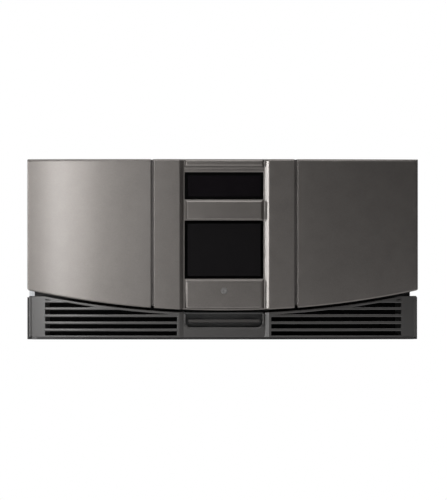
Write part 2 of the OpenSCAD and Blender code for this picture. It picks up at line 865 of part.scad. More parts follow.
// Slot shaped outline in the YZ plane around both pulleys
module belt_loop(r) {
    for (y = [idler_y, motor_y]) rod_x(r, belt_x - belt_w / 2, belt_x + belt_w / 2, y, belt_z);
    block([belt_x - belt_w / 2, idler_y, belt_z - r], [belt_x + belt_w / 2, motor_y, belt_z + r]);
}

module track_belt() {
    color(black) difference() {
        belt_loop(pulley_r + belt_t);
        translate([-1, 0, 0]) belt_loop(pulley_r + run_gap);
        translate([1, 0, 0]) belt_loop(pulley_r + run_gap);
    }
}

module track_motor() {
    color([0.15, 0.15, 0.16]) difference() {
        union() {
            block([motor_x, motor_y - 14, sheet], [motor_x + motor_w, motor_y + 14, belt_z + 14]);
            for (y = [idler_y, motor_y])
                block([bracket_x, y - 8, sheet], [bracket_x + bracket_t, y + 8, belt_z + 6.5]);
        }
        rod_x(shaft_r + run_gap, bracket_x - 1, motor_x + 12, motor_y, belt_z);
        rod_x(shaft_r + run_gap, bracket_x - 1, bracket_x + bracket_t + 1, idler_y, belt_z);
    }
}

module pulley(y, x1) {
    rod_x(pulley_r, belt_x - belt_w / 2 - 0.4, belt_x + belt_w / 2 + 0.4, y, belt_z);
    for (x = [belt_x - belt_w / 2 - 1.6, belt_x + belt_w / 2 + 0.4])
        rod_x(pulley_r + 1.6, x, x + 1.2, y, belt_z);
    rod_x(shaft_r, bracket_x, x1, y, belt_z);
}

module motor_pulley() {
    color([0.7, 0.7, 0.72]) pulley(motor_y, motor_x + 8);
}

module idler_pulley() {
    color([0.7, 0.7, 0.72]) pulley(idler_y, belt_x + 8);
}

// Magazine with one open pocket for each cartridge
module magazine() {
    difference() {
        block([mag_x0, mag_y0, mag_z0], [mag_x1, mag_y0 + mag_len, mag_z0 + mag_h]);
        for (c = [0:columns - 1]) for (r = [0:rows - 1])
            translate([mag_x0 - 1, mag_y0 + 2.5 + c * column_pitch, mag_z0 + 5 + r * row_pitch])
                cube([mag_w - 2, pocket_w, pocket_h]);
    }
}

module left_magazine() {
    color([0.16, 0.16, 0.17]) mirror([1, 0, 0]) magazine();
}

module right_magazine() {
    color([0.16, 0.16, 0.17]) magazine();
}

// Data cartridges with a grip notch at each front corner
module cartridges() {
    for (c = [0:columns - 1]) for (r = [0:rows - 1])
        translate([mag_x0 + 2, mag_y0 + 2.8 + c * column_pitch, mag_z0 + 5 + r * row_pitch])
            difference() {
                cube([tape_d, tape_w, tape_h]);
                for (y = [-1, tape_w - 3]) translate([6, y, 5]) cube([8, 4, tape_h - 10]);
                translate([-1, 22, 4]) cube([1.6, tape_w - 44, tape_h - 8]);
            }
}

module left_cartridges() {
    color([0.1, 0.12, 0.2]) mirror([1, 0, 0]) cartridges();
}

module right_cartridges() {
    color([0.1, 0.12, 0.2]) cartridges();
}

// Bail handle on a magazine's front end
module magazine_handle() {
    x = mag_x0 + mag_w / 2;
    for (z = [mag_z0 + 44, mag_z0 + 96]) block([x - 6, mag_y0 - 16, z], [x + 6, mag_y0, z + 6]);
    block([x - 8, mag_y0 - 22, mag_z0 + 40], [x + 8, mag_y0 - 16, mag_z0 + 106]);
}

module left_magazine_handle() {
    color([0.45, 0.55, 0.5]) mirror([1, 0, 0]) magazine_handle();
}

module right_magazine_handle() {
    color([0.45, 0.55, 0.5]) magazine_handle();
}

// Opening of a fan behind its finger guard
module fan_opening(x, z) {
    difference() {
        rod_y(fan_r + 1, module_y1 - 3, module_y1 + 1, x, z);
        rod_y(fan_r * 0.4, module_y1 - 4, module_y1 + 2, x, z);
        for (r = [0.62, 0.84]) difference() {
            rod_y(fan_r * r + 0.7, module_y1 - 4, module_y1 + 2, x, z);
            rod_y(fan_r * r - 0.7, module_y1 - 5, module_y1 + 3, x, z);
        }
        for (a = [45, 135]) translate([x, module_y1, z]) rotate([0, a, 0])
            cube([2 * fan_r + 4, 10, 1.6], center = true);
    }
}

// Pin that a fan rotor turns on
module fan_pin(x, z) {
    rod_y(fan_pin_r, fan_y - 4, module_y1 - sheet / 2, x, z);
}

// Pull-out drive canister: a sheet box with a mouth, a fan hole and a handle
module canister(z) {
    x = canister_w / 2;
    mid = z + canister_h / 2;
    y1 = module_y1;
    color(steel) difference() {
        union() {
            block([-x, canister_y0, z], [x, y1, z + canister_h]);
            for (h = [-30, 26]) block([-70, y1, mid + h], [-62, y_rear - 5, mid + h + 8]);
            block([-70, y_rear - 5, mid - 30], [-62, y_rear, mid + 34]);
            for (h = [-38, 38]) rod_y(5, y1, y1 + 8, 66, mid + h);
        }
        block([-x + 1.2, canister_y0 + 1.2, z + 1.2], [x - 1.2, y1 - sheet, z + canister_h - 1.2]);
        block([-tape_w / 2 - 2, canister_y0 - 1, mid - 13], [tape_w / 2 + 2, canister_y0 + 3, mid + 13]);
        fan_opening(0, mid);
        block([32, y1 - 3, mid - 22], [52, y1 + 1, mid - 14]);
        block([32, y1 - 3, mid + 6], [52, y1 + 1, mid + 14]);
    }
    color(steel) fan_pin(0, mid);
}

module lower_canister() {
    canister(canister_z[0]);
}

module upper_canister() {
    canister(canister_z[1]);
}

// Tape drive: a closed case with a cartridge mouth at its front
module tape_drive(z) {
    x = drive_w / 2;
    z0 = z + 1.2;
    mid = z + canister_h / 2;
    y0 = canister_y0 + 1.2;
    color([0.55, 0.56, 0.58]) difference() {
        block([-x, y0, z0], [x, y0 + drive_d, z0 + drive_h]);
        block([-x + 2, y0 + 4, z0 + 2], [x - 2, y0 + drive_d - 2, z0 + drive_h - 2]);
        block([-tape_w / 2 - 1, y0 - 1, mid - 12], [tape_w / 2 + 1, y0 + 5, mid + 12]);
    }
}

module lower_tape_drive() {
    tape_drive(canister_z[0]);
}

module upper_tape_drive() {
    tape_drive(canister_z[1]);
}

// Fan rotor: hub and seven blades, turning about Y
module fan_rotor(x, z) {
    color(black) difference() {
        translate([x, fan_y, z]) rotate([90, 0, 0]) {
            translate([0, 0, -5]) cylinder(r = fan_r * 0.42, h = 10);
            for (i = [0:6]) rotate([0, 0, i * 360 / 7]) rotate([35, 0, 0])
                translate([fan_r * 0.3, -4, -0.6]) cube([fan_r * 0.62, 8, 1.2]);
        }
        rod_y(fan_pin_r + run_gap, fan_y - 8, fan_y + 8, x, z);
    }
}

module lower_drive_fan() {
    fan_rotor(0, canister_z[0] + canister_h / 2);
}

module upper_drive_fan() {
    fan_rotor(0, canister_z[1] + canister_h / 2);
}

// Pull-out power supply with an inlet, a fan hole and a handle
module power_supply(z) {
    y1 = module_y1;
    mid = z + supply_h / 2;
    x1 = supply_x1;
    color([0.55, 0.56, 0.58]) difference() {
        union() {
            block([supply_x0, supply_y0, z], [x1, y1, z + supply_h]);
            for (h = [-18, 12])
                block([supply_x0 + 54, y1, mid + h], [supply_x0 + 60, y_rear - 4, mid + h + 6]);
            block([supply_x0 + 54, y_rear - 4, mid - 18], [supply_x0 + 60, y_rear, mid + 18]);
        }
        difference() {
            block([supply_x0 + 1.2, supply_y0 + 1.2, z + 1.2], [x1 - 1.2, y1 - sheet, z + supply_h - 1.2]);
            block([supply_x0 + 12, y1 - 22, mid - 13], [supply_x0 + 44, y1 - 1, mid + 13]);
        }
        block([supply_x0 + 15, y1 - 19, mid - 9.5], [supply_x0 + 41, y1 + 1, mid + 9.5]);
        fan_opening(x1 - 28, mid);
    }
    color(steel) fan_pin(x1 - 28, mid);
    color(steel) for (dx = [20, 28, 36])
        block([supply_x0 + dx - 1, y1 - 20, mid - 2], [supply_x0 + dx + 1, y1 - 6, mid + 2]);
}

module lower_power_supply() {
    power_supply(supply_z[0]);
}

module upper_power_supply() {
    power_supply(supply_z[1]);
}

module lower_supply_fan() {
    fan_rotor(supply_x1 - 28, supply_z[0] + supply_h / 2);
}

module upper_supply_fan() {
    fan_rotor(supply_x1 - 28, supply_z[1] + supply_h / 2);
}

// Controller board with its faceplate, sockets and spacers
module controller_card() {
    y1 = chassis_y1;
    net_x = [card_x0 + 7, card_x0 + 31];
    port_x = card_x0 + 54;
    color([0.1, 0.35, 0.2]) {
        block([card_x0, card_y0, card_z], [card_x1, y1, socket_z]);
        translate([card_x0 + 12, card_y0 + 30, socket_z]) cube([40, 40, 4.4]);
        translate([card_x1 - 42, card_y0 + 40, socket_z]) cube([30, 20, 10.4]);
    }
    color(steel) difference() {
        union() {
            block([card_x0 - 4, y1, card_z - 6], [card_x1 + 3, y1 + 1.5, face_z1]);
            for (x = net_x) block([x, y1 - 20, socket_z], [x + 18, y1, socket_z + 16.4]);
            block([port_x, y1 - 16, socket_z], [port_x + 32, y1, socket_z + 14.4]);
            for (x = [card_x0 + 6, card_x1 - 6]) for (y = [card_y0 + 8, y1 - 23])
                rod_z(3, sheet + clear, card_z, x, y);
        }
        for (x = net_x) block([x + 2, y1 - 18, socket_z + 2], [x + 16, y1 + 3, socket_z + 14.4]);
        block([port_x + 2, y1 - 14, socket_z + 2], [port_x + 30, y1 + 3, socket_z + 12.4]);
    }
}

left_door();
right_door();
center_bezel();
center_bar();
button_panel();
window_gasket();
view_window();
touch_screen();
display_module();
power_button();
lower_grille();
pull_handle();
base_lip();
front_frame();
air_filter();
hinge_brackets();
hinge_pins();
latch_solenoids();
left_lock_pin();
right_lock_pin();
base_pan();
left_side_wall();
right_side_wall();
top_cover();
rear_panel();
cover_screws();
drive_bay();
magazine_decks();
track_rails();
robot_carriage();
mast_rods();
lift_motor();
lift_screw();
lift_platform();
picker_turntable();
picker_housing();
picker_slide();
left_finger();
right_finger();
track_belt();
track_motor();
motor_pulley();
idler_pulley();
left_magazine();
right_magazine();
left_cartridges();
right_cartridges();
left_magazine_handle();
right_magazine_handle();
lower_canister();
upper_canister();
lower_tape_drive();
upper_tape_drive();
lower_drive_fan();
upper_drive_fan();
lower_power_supply();
upper_power_supply();
lower_supply_fan();
upper_supply_fan();
controller_card();
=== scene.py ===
"""Dresses the data tape library: finishes, rounded front pieces, louvres, fittings, studio."""
import json
import math

import bmesh
import bpy
from bpy.props import FloatProperty, FloatVectorProperty, PointerProperty
from mathutils import Matrix, Vector


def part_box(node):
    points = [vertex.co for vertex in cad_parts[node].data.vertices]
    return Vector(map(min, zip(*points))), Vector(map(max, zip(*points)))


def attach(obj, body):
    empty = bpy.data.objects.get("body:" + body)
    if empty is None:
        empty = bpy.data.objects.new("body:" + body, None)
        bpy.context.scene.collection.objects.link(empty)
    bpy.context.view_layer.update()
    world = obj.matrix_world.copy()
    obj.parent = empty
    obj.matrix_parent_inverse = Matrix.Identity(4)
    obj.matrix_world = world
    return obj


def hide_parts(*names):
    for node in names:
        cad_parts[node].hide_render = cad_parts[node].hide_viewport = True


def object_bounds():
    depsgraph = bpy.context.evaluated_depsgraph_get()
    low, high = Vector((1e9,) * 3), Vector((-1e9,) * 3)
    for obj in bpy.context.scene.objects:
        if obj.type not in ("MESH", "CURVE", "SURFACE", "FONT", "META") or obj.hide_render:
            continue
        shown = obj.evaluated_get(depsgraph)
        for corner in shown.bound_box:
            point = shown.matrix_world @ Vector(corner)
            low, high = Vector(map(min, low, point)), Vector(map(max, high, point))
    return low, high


bl_info = {
    "name": "Data Tape Library",
    "version": (1, 0, 0),
    "blender": (4, 5, 0),
    "location": "3D View > Sidebar > Tape Library",
    "description": "Builds the visible pieces and finishes of a rack-mounted tape library",
    "category": "Object",
}

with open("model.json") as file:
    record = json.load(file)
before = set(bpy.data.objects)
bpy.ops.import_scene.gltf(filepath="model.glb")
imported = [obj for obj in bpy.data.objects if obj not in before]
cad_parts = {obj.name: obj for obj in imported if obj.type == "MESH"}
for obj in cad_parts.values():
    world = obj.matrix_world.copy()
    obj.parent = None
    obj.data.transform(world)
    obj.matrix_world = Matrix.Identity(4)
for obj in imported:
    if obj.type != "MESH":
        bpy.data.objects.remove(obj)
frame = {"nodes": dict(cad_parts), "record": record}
CAD_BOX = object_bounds()
NODES = frame["nodes"]
BODY_OF = {n: b for b, ns in frame["record"]["behaviour"]["bodies"].items() for n in ns}
SLOT_OF = {s["node"]: s["material_slot"] for s in frame["record"]["subparts"]}
MM = 0.001
SCREEN_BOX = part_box("touch_screen")
CARD_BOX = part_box("controller_card")
GRILLE_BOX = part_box("lower_grille")

# Directions that small parts face, and the ways that the fine lines on steel run
FORWARD, BACKWARD, UPWARD = (0, -1, 0), (0, 1, 0), (0, 0, 1)
LINES_ALONG_X = (6.0, 900.0, 900.0)
LINES_ALONG_Y = (900.0, 6.0, 900.0)
LINES_ALONG_Z = (900.0, 900.0, 6.0)

# Rounding of fine parts and of ordinary parts inside the machine
FINE_ROUND = 0.0003
PART_ROUND = 0.0008


# ---------------------------------------------------------------- shader maths

class Socket:
    """An output socket that adds Math nodes when Python operators meet it."""

    def __init__(self, tree, link):
        self.tree = tree
        self.link = link

    def _math(self, operation, *values):
        return self.tree.node("ShaderNodeMath", {"operation": operation}, *values)

    def __add__(self, other):
        return self._math("ADD", self, other)

    __radd__ = __add__

    def __sub__(self, other):
        return self._math("SUBTRACT", self, other)

    def __rsub__(self, other):
        return self._math("SUBTRACT", other, self)

    def __mul__(self, other):
        return self._math("MULTIPLY", self, other)

    __rmul__ = __mul__

    def __truediv__(self, other):
        return self._math("DIVIDE", self, other)

    def __rtruediv__(self, other):
        return self._math("DIVIDE", other, self)

    def __gt__(self, other):
        return self._math("GREATER_THAN", self, other)

    def __lt__(self, other):
        return self._math("LESS_THAN", self, other)

    def abs(self):
        return self._math("ABSOLUTE", self)

    def smooth(self, low, high):
        """0 below low, 1 above high, and a soft step between."""
        settings = {"interpolation_type": "SMOOTHSTEP"}
        return self.tree.node("ShaderNodeMapRange", settings, self, low, high)


class Tree:
    """A node tree whose nodes are made by one method."""

    def __init__(self, node_tree):
        self.nodes = node_tree.nodes
        self.links = node_tree.links

    def node(self, kind, settings, *values, out=0, **named):
        made = self.nodes.new(kind)
        for key, value in settings.items():
            setattr(made, key, value)
        for key, value in list(enumerate(values)) + list(named.items()):
            key = key if isinstance(key, int) else key.replace("_", " ")
            self._feed(made.inputs[key], value)
        return Socket(self, made.outputs[out])

    def axes(self, vector):
        """The three numbers of a vector."""
        outputs = self.node("ShaderNodeSeparateXYZ", {}, vector).link.node.outputs
        return [Socket(self, output) for output in outputs]

    def ray(self, kind):
        """1 for light rays of a kind, and 0 for others."""
        return self.node("ShaderNodeLightPath", {}, out="Is " + kind + " Ray")

    def _feed(self, socket, value):
        if isinstance(value, Socket):
            self.links.new(value.link, socket)
        elif hasattr(value, "__len__") and len(value) == 3 and socket.type == "RGBA":
            socket.default_value = (*value, 1.0)
        else:
            socket.default_value = value


class Finish(Tree):
    """One material, its main shader and its node tree."""

    def __init__(self, name, color, roughness, metallic=0.0, **sockets):
        self.material = bpy.data.materials.new(name)
        self.material.use_nodes = True
        self.material.diffuse_color = (*color, 1.0)
        super().__init__(self.material.node_tree)
        self.shader = self.nodes["Principled BSDF"]
        self.set("Base Color", color)
        self.set("Roughness", roughness)
        self.set("Metallic", metallic)
        for socket, value in sockets.items():
            self.set(socket.replace("_", " "), value)
        self.place = self.node("ShaderNodeTexCoord", {}, out="Object")

    def set(self, socket, value):
        self._feed(self.shader.inputs[socket], value)

    def stretched(self, x, y, z):
        """Object coordinates scaled along each axis."""
        return self.node("ShaderNodeVectorMath", {"operation": "MULTIPLY"}, self.place, (x, y, z))

    def noise(self, scale, detail=2.0, where=None, roughness=0.5):
        vector = where or self.place
        return self.node("ShaderNodeTexNoise", {}, Vector=vector, Scale=scale,
                         Detail=detail, Roughness=roughness)

    def cells(self, scale):
        return self.node("ShaderNodeTexVoronoi", {}, Vector=self.place, Scale=scale)

    def mix(self, factor, first, second):
        """A colour between two colours."""
        mixer = self.node("ShaderNodeMix", {"data_type": "RGBA"}, factor).link.node
        self._feed(mixer.inputs[6], first)
        self._feed(mixer.inputs[7], second)
        return Socket(self, mixer.outputs[2])

    def bump(self, height, distance, strength=1.0):
        self.set("Normal", self.node("ShaderNodeBump", {}, Strength=strength, Distance=distance,
                                     Height=height))


def tinted(color, factor):
    return tuple(min(1.0, c * factor) for c in color)


def bezel_paint(name, color):
    """Warm grey metallic paint: fine flakes over a soft mottle, under a satin clear coat."""
    f = Finish(name, color, 0.44, 0.85, Coat_Roughness=0.24)
    mottle = f.noise(70.0, 3.0)
    flakes = f.noise(1500.0, 1.0)
    tone = mottle * 0.3 + flakes * 0.7
    f.set("Base Color", f.mix(tone, tinted(color, 0.7), tinted(color, 1.3)))
    f.set("Roughness", 0.4 + mottle * 0.08)
    f.set("Coat Weight", 0.3 + mottle * 0.1)
    f.bump(flakes, 0.00002, 0.3)
    return f.material


def moulded(name, color, roughness, grain=1500.0):
    """Moulded plastic with a fine spark-eroded grain."""
    f = Finish(name, color, roughness)
    grains = f.noise(grain, 3.0)
    broad = f.noise(25.0)
    f.set("Base Color", f.mix(broad, tinted(color, 0.88), tinted(color, 1.12)))
    f.set("Roughness", roughness - 0.05 + grains * 0.1)
    f.bump(grains, 0.00004, 0.5)
    return f.material


def sheet_steel(name, color, roughness, along=LINES_ALONG_X):
    """Zinc plated or ground steel with fine lines along one axis."""
    f = Finish(name, color, roughness, 1.0)
    lines = f.noise(1.0, 3.0, f.stretched(*along))
    cloud = f.noise(14.0, 3.0)
    f.set("Base Color", f.mix(cloud, tinted(color, 0.86), tinted(color, 1.08)))
    f.set("Roughness", roughness - 0.06 + lines * 0.14)
    f.bump(lines, 0.00002, 0.3)
    return f.material


def dark_glass(name, color, roughness=0.06):
    """Black glass or smoked plastic with faint smears."""
    f = Finish(name, color, roughness, Specular_IOR_Level=0.1)
    smear = f.noise(40.0, 4.0)
    f.set("Roughness", roughness + smear * 0.05)
    f.set("Base Color", f.mix(smear, tinted(color, 0.8), tinted(color, 1.2)))
    return f.material


def framed_screen(name, color, frame_color):
    """Dark glass over a switched-off display, with a black printed frame."""
    f = Finish(name, color, 0.08, Specular_IOR_Level=0.1)
    low, high = SCREEN_BOX
    middle = (low + high) / 2
    reach = (high - low) / 2 - Vector((1, 1, 1)) * 3.6 * MM
    axes = f.axes(f.place)
    across = (axes[0] - middle.x).abs() < reach.x
    upward = (axes[2] - middle.z).abs() < reach.z
    smear = f.noise(40.0, 4.0)
    f.set("Roughness", 0.07 + smear * 0.04)
    f.set("Base Color", f.mix(across * upward, frame_color, color))
    return f.material


def lamp_lens(name, color, glow):
    """A small indicator lens, faintly lit."""
    f = Finish(name, color, 0.2, Emission_Strength=glow)
    f.set("Emission Color", color)
    f.set("Base Color", f.mix(f.noise(600.0), tinted(color, 0.8), tinted(color, 1.1)))
    return f.material


def rubber(name, color, gloss=0.15):
    f = Finish(name, color, 0.75, Specular_IOR_Level=gloss)
    grains = f.noise(900.0, 2.0)
    f.set("Base Color", f.mix(grains, tinted(color, 0.8), tinted(color, 1.25)))
    f.bump(grains, 0.00005, 0.6)
    return f.material


def filter_foam(name, color):
    f = Finish(name, color, 0.95, Specular_IOR_Level=0.1)
    pores = f.cells(700.0)
    f.set("Base Color", f.mix(pores, tinted(color, 0.5), tinted(color, 1.6)))
    f.bump(pores, 0.0006, 1.0)
    return f.material


def grille_paint(name, color, painted_shade_color):
    """The louvres' grained finish, with painted shade: the finger pocket and the grille above it
    are painted almost black.
    """
    f = Finish(name, color, 0.38, Specular_IOR_Level=0.9)
    grains = f.noise(1500.0, 3.0)
    broad = f.noise(25.0)
    axes = f.axes(f.place)
    # Painted shade: within 50 mm of the middle, everything except the front lip below 30.6 mm turns
    # almost black, standing for the shade inside the pocket and under the bezel.
    outside = (axes[1] < GRILLE_BOX[0].y + 4 * MM) * (axes[2] < 30.6 * MM)
    painted_shade_mask = (axes[0].abs() < 50.0 * MM) * (1.0 - outside)
    color = f.mix(broad, tinted(color, 0.88), tinted(color, 1.12))
    f.set("Base Color", f.mix(painted_shade_mask, color, painted_shade_color))
    f.set("Roughness", 0.33 + grains * 0.1)
    f.bump(grains, 0.00004, 0.5)
    return f.material


def circuit_board(name, color, steel):
    """Green board with fine traces; its faceplate, sockets and heat sinks are bare metal."""
    f = Finish(name, color, 0.35)
    low, high = CARD_BOX
    axes = f.axes(f.place)
    board = (axes[2] > low.z + 5.9 * MM) * (axes[2] < low.z + 7.7 * MM)
    board = board * (axes[1] < high.y - 1.4 * MM)
    traces = f.node("ShaderNodeTexBrick", {}, Vector=f.place, Color1=tinted(color, 0.8),
                    Color2=tinted(color, 1.3), Mortar=tinted(color, 2.2), Scale=60.0, out="Color")
    lines = f.noise(1.0, 3.0, f.stretched(*LINES_ALONG_X))
    f.set("Base Color", f.mix(board, steel, traces))
    f.set("Metallic", 1.0 - board)
    f.set("Roughness", 0.32 + lines * 0.1)
    return f.material


FINISHES = {}


def make_finishes(colors):
    """One material for each of the record's material slots."""
    grille, steel = tuple(colors.grille), tuple(colors.chassis)
    black = (0.008, 0.008, 0.008)
    for name, recipe, *values in (
            ("bezel_paint", bezel_paint, tuple(colors.paint)),
            ("black_rubber", rubber, black),
            ("gasket_rubber", rubber, (0.001, 0.001, 0.001), 0.03),
            ("seal_rubber", rubber, (0.16, 0.15, 0.145)),
            # The black given to the grille is the painted shade of its finger pocket.
            ("grille_paint", grille_paint, grille, black),
            ("smoked_window", dark_glass, (0.006, 0.0052, 0.0062)),
            ("screen_glass", framed_screen, (0.0085, 0.008, 0.0085), (0.0008, 0.0008, 0.0008)),
            ("board_plastic", moulded, (0.05, 0.055, 0.06), 0.5),
            ("button_plastic", moulded, (0.16, 0.155, 0.15), 0.4),
            ("grille_plastic", moulded, grille, 0.5),
            ("dark_paint", moulded, (0.018, 0.017, 0.017), 0.55),
            ("zinc_steel", sheet_steel, steel, 0.56),
            ("filter_foam", filter_foam, (0.002, 0.002, 0.002)),
            ("polished_steel", sheet_steel, (0.6, 0.6, 0.61), 0.22, LINES_ALONG_Y),
            ("robot_aluminium", sheet_steel, (0.42, 0.44, 0.47), 0.36, LINES_ALONG_Y),
            ("black_plastic", moulded, (0.012, 0.012, 0.013), 0.45),
            ("finger_brass", sheet_steel, (0.55, 0.36, 0.13), 0.3, LINES_ALONG_Y),
            ("magazine_plastic", moulded, (0.018, 0.018, 0.02), 0.48),
            ("cartridge_plastic", moulded, (0.012, 0.017, 0.04), 0.4),
            ("handle_plastic", moulded, (0.06, 0.17, 0.14), 0.42),
            ("drive_aluminium", sheet_steel, (0.5, 0.5, 0.52), 0.34, LINES_ALONG_Y),
            ("board_green", circuit_board, (0.012, 0.09, 0.035), steel),
            ("label_card", moulded, (0.6, 0.6, 0.57), 0.6, 500.0),
            ("gold_contact", sheet_steel, (0.7, 0.5, 0.2), 0.3, LINES_ALONG_Z),
            ("green_lens", lamp_lens, (0.05, 0.5, 0.12), 0.6)):
        FINISHES[name] = recipe(name, *values)


# ---------------------------------------------------------------- mesh helpers

def linked(name, data):
    """A new object in the scene."""
    made = bpy.data.objects.new(name, data)
    bpy.context.scene.collection.objects.link(made)
    return made


def new_piece(name, mesh, body, slot, replaces=(), finish=None):
    """Links a finished mesh as a piece that rides on a body."""
    piece = linked(name, mesh)
    mesh.materials.clear()
    mesh.materials.append(FINISHES[finish or slot])
    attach(piece, body)
    if replaces:
        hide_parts(*replaces)
    return piece


def smooth_by_angle(mesh, degrees=35.0):
    """Smooth faces with sharp edges where the surface turns by more than the angle."""
    form = bmesh.new()
    form.from_mesh(mesh)
    limit = math.radians(degrees)
    for face in form.faces:
        face.smooth = True
    for edge in form.edges:
        edge.smooth = len(edge.link_faces) == 2 and edge.calc_face_angle(0.0) < limit
    form.to_mesh(mesh)
    form.free()


def turning_normals(edge, limit):
    """The two face normals of an edge that is long and sharp enough to be rounded."""
    normals = [face.normal for face in edge.link_faces]
    if len(normals) < 2 or normals[0].angle(normals[1], 0.0) < limit:
        return ()
    return normals if edge.calc_length() >= 0.9 * MM else ()


def edge_weight(edge, normals):
    """How much of the full rounding an edge gets: the bottom edges most, small bores none."""
    if any(n.z < -0.7 for n in normals):
        return 1.0
    return 0.3 if any(abs(n.x) > 0.9 for n in normals) else 0.5


def front_weight(edge, normals):
    """As edge_weight, for the doors and the bezel: their top edges most."""
    middle = (edge.verts[0].co + edge.verts[1].co) / 2
    if middle.z > CAD_BOX[1].z - 0.5 * MM and any(n.y < -0.5 for n in normals):
        return 1.0
    if any(n.z < -0.7 for n in normals):
        return 0.6
    outer = middle.x > CAD_BOX[1].x - 4 * MM and any(n.y < -0.5 for n in normals)
    return 1.0 if outer else 0.18


def plate_weight(edge, normals):
    """As edge_weight, for the raised plates: the edges around their front faces most."""
    return 1.0 if any(n.y < -0.98 for n in normals) else 0.15


def grille_weight(edge, normals):
    """As edge_weight, for the louvres: the edges that face up most."""
    if min(vertex.co.z for vertex in edge.verts) < GRILLE_BOX[0].z + 5 * MM:
        return 0.35
    level = any(abs(n.z) > 0.7 for n in normals)
    return 1.0 if level and any(n.y < -0.5 for n in normals) else 0.35


def turned_apart(low, high, first, second):
    """Whether two points lie clearly on the two sides of a line, seen from the front."""
    along = high - low
    sides = [along.x * (p - low).z - along.z * (p - low).x for p in (first, second)]
    return min(sides) < -0.3 * MM * MM and max(sides) > 0.3 * MM * MM


def upright_diagonals(form):
    """Turn diagonals on the grille's curved front, so that no triangle cuts across the curve."""
    turning = True
    while turning:
        turning = False
        for edge in list(form.edges):
            if not edge.is_valid or len(edge.link_faces) != 2:
                continue
            a, b = (v.co for v in edge.verts)
            c, d = (next(v.co for v in f.verts if v not in edge.verts) for f in edge.link_faces)
            if min(p.z for p in (a, b, c, d)) < 2.9 * MM or min(abs(a.x), abs(b.x)) < 56 * MM:
                continue
            crossing = all(turned_apart(*points) for points in ((c, d, a, b), (a, b, c, d)))
            if crossing and abs(c.x - d.x) < abs(a.x - b.x) - 0.1 * MM:
                turning = bmesh.utils.edge_rotate(edge, True) is not None or turning
    form.normal_update()


def spare_narrow_corners(form, weight):
    """No rounding on edges that meet at a narrow angle, where it would run past the corner."""
    narrow = math.radians(35.0)
    spared = set()
    for vertex in form.verts:
        edges = [e for e in vertex.link_edges if e[weight] > 0.0]
        for i, first in enumerate(edges):
            for second in edges[i + 1:]:
                ways = [e.other_vert(vertex).co - vertex.co for e in (first, second)]
                if ways[0].angle(ways[1], math.pi) < narrow:
                    spared.update((first, second))
    for edge in spared:
        edge[weight] = 0.0


def merged_copy(node, limit=0.5, weigh=edge_weight):
    """A welded copy of a CAD node's mesh, with even triangles and weights on its edges."""
    form = bmesh.new()
    form.from_mesh(NODES[node].data)
    bmesh.ops.remove_doubles(form, verts=form.verts, dist=2e-6)
    bmesh.ops.dissolve_degenerate(form, dist=1e-6, edges=form.edges)
    if node == "lower_grille":
        upright_diagonals(form)
    flat = [e for e in form.edges if len(e.link_faces) == 2 and e.calc_face_angle(1.0) < 0.001]
    bmesh.ops.beautify_fill(form, faces=form.faces, edges=flat, use_restrict_tag=False,
                            method="ANGLE")
    weight = form.edges.layers.float.new("bevel_weight_edge")
    for edge in form.edges:
        normals = turning_normals(edge, limit)
        edge[weight] = weigh(edge, normals) if normals else 0.0
    spare_narrow_corners(form, weight)
    mesh = bpy.data.meshes.new(node + ".welded")
    form.to_mesh(mesh)
    form.free()
    return mesh


def evaluated_mesh(holder, name):
    """The holder's mesh with its modifiers applied; the holder is removed."""
    bpy.context.view_layer.update()
    graph = bpy.context.evaluated_depsgraph_get()
    mesh = bpy.data.meshes.new_from_object(holder.evaluated_get(graph))
    mesh.name = name
    bpy.data.objects.remove(holder)
    return mesh


def rounded_mesh(node, width, segments=2, weigh=edge_weight, angle=32.0):
    """A CAD node's shape with its edges rounded and its flat faces kept flat."""
    mesh = merged_copy(node, math.radians(angle), weigh)
    smooth_by_angle(mesh, angle)
    holder = linked(node + ".holder", mesh)
    bevel = holder.modifiers.new("edges", "BEVEL")
    bevel.width = width
    bevel.segments = segments
    bevel.limit_method = "WEIGHT"
    bevel.use_clamp_overlap = False
    weighted = holder.modifiers.new("normals", "WEIGHTED_NORMAL")
    weighted.keep_sharp = True
    rounded = evaluated_mesh(holder, node + "_rounded")
    rounded.materials.clear()
    return rounded


def dress_rounded(node, width, segments=2, weigh=edge_weight, finish=None):
    mesh = rounded_mesh(node, width, segments, weigh)
    return new_piece(node + "_dressed", mesh, BODY_OF[node], SLOT_OF[node], (node,), finish)


def finished_mesh(form, name, degrees=35.0):
    """A mesh from a bmesh, with its faces turned outwards and smoothed by angle."""
    bmesh.ops.remove_doubles(form, verts=form.verts, dist=1e-7)
    bmesh.ops.recalc_face_normals(form, faces=form.faces)
    mesh = bpy.data.meshes.new(name)
    form.to_mesh(mesh)
    form.free()
    smooth_by_angle(mesh, degrees)
    return mesh


def turned_mesh(name, profile, sides=24, ridge=0.0):
    """A closed shape turned about Z from (radius, height) steps, with knurls as deep as the ridge.
    """
    form = bmesh.new()
    rings = []
    for radius, height in profile:
        ring = []
        for side in range(sides):
            angle = 2 * math.pi * side / sides
            reach = radius - ridge * (side % 2)
            ring.append(form.verts.new((reach * math.cos(angle), reach * math.sin(angle), height)))
        rings.append(ring)
    for low, high in zip(rings, rings[1:]):
        for side in range(sides):
            after = (side + 1) % sides
            form.faces.new((low[side], low[after], high[after], high[side]))
    form.faces.new(rings[0])
    form.faces.new(rings[-1])
    return finished_mesh(form, name)


def block_mesh(name, boxes, rounding):
    """Rounded blocks in one mesh; each box is a low and a high corner."""
    form = bmesh.new()
    for low, high in boxes:
        size = Vector(high) - Vector(low)
        place = Matrix.Translation((Vector(low) + Vector(high)) / 2) @ Matrix.Diagonal((*size, 1.0))
        bmesh.ops.create_cube(form, size=1.0, matrix=place)
    bmesh.ops.bevel(form, geom=form.edges[:], offset=rounding, segments=2, profile=0.5,
                    affect="EDGES")
    return finished_mesh(form, name)


def slab_mesh(name, half_width, half_depth, bottom, top, rounding):
    """One rounded block about the Z axis."""
    box = ((-half_width, -half_depth, bottom), (half_width, half_depth, top))
    return block_mesh(name, (box,), rounding)


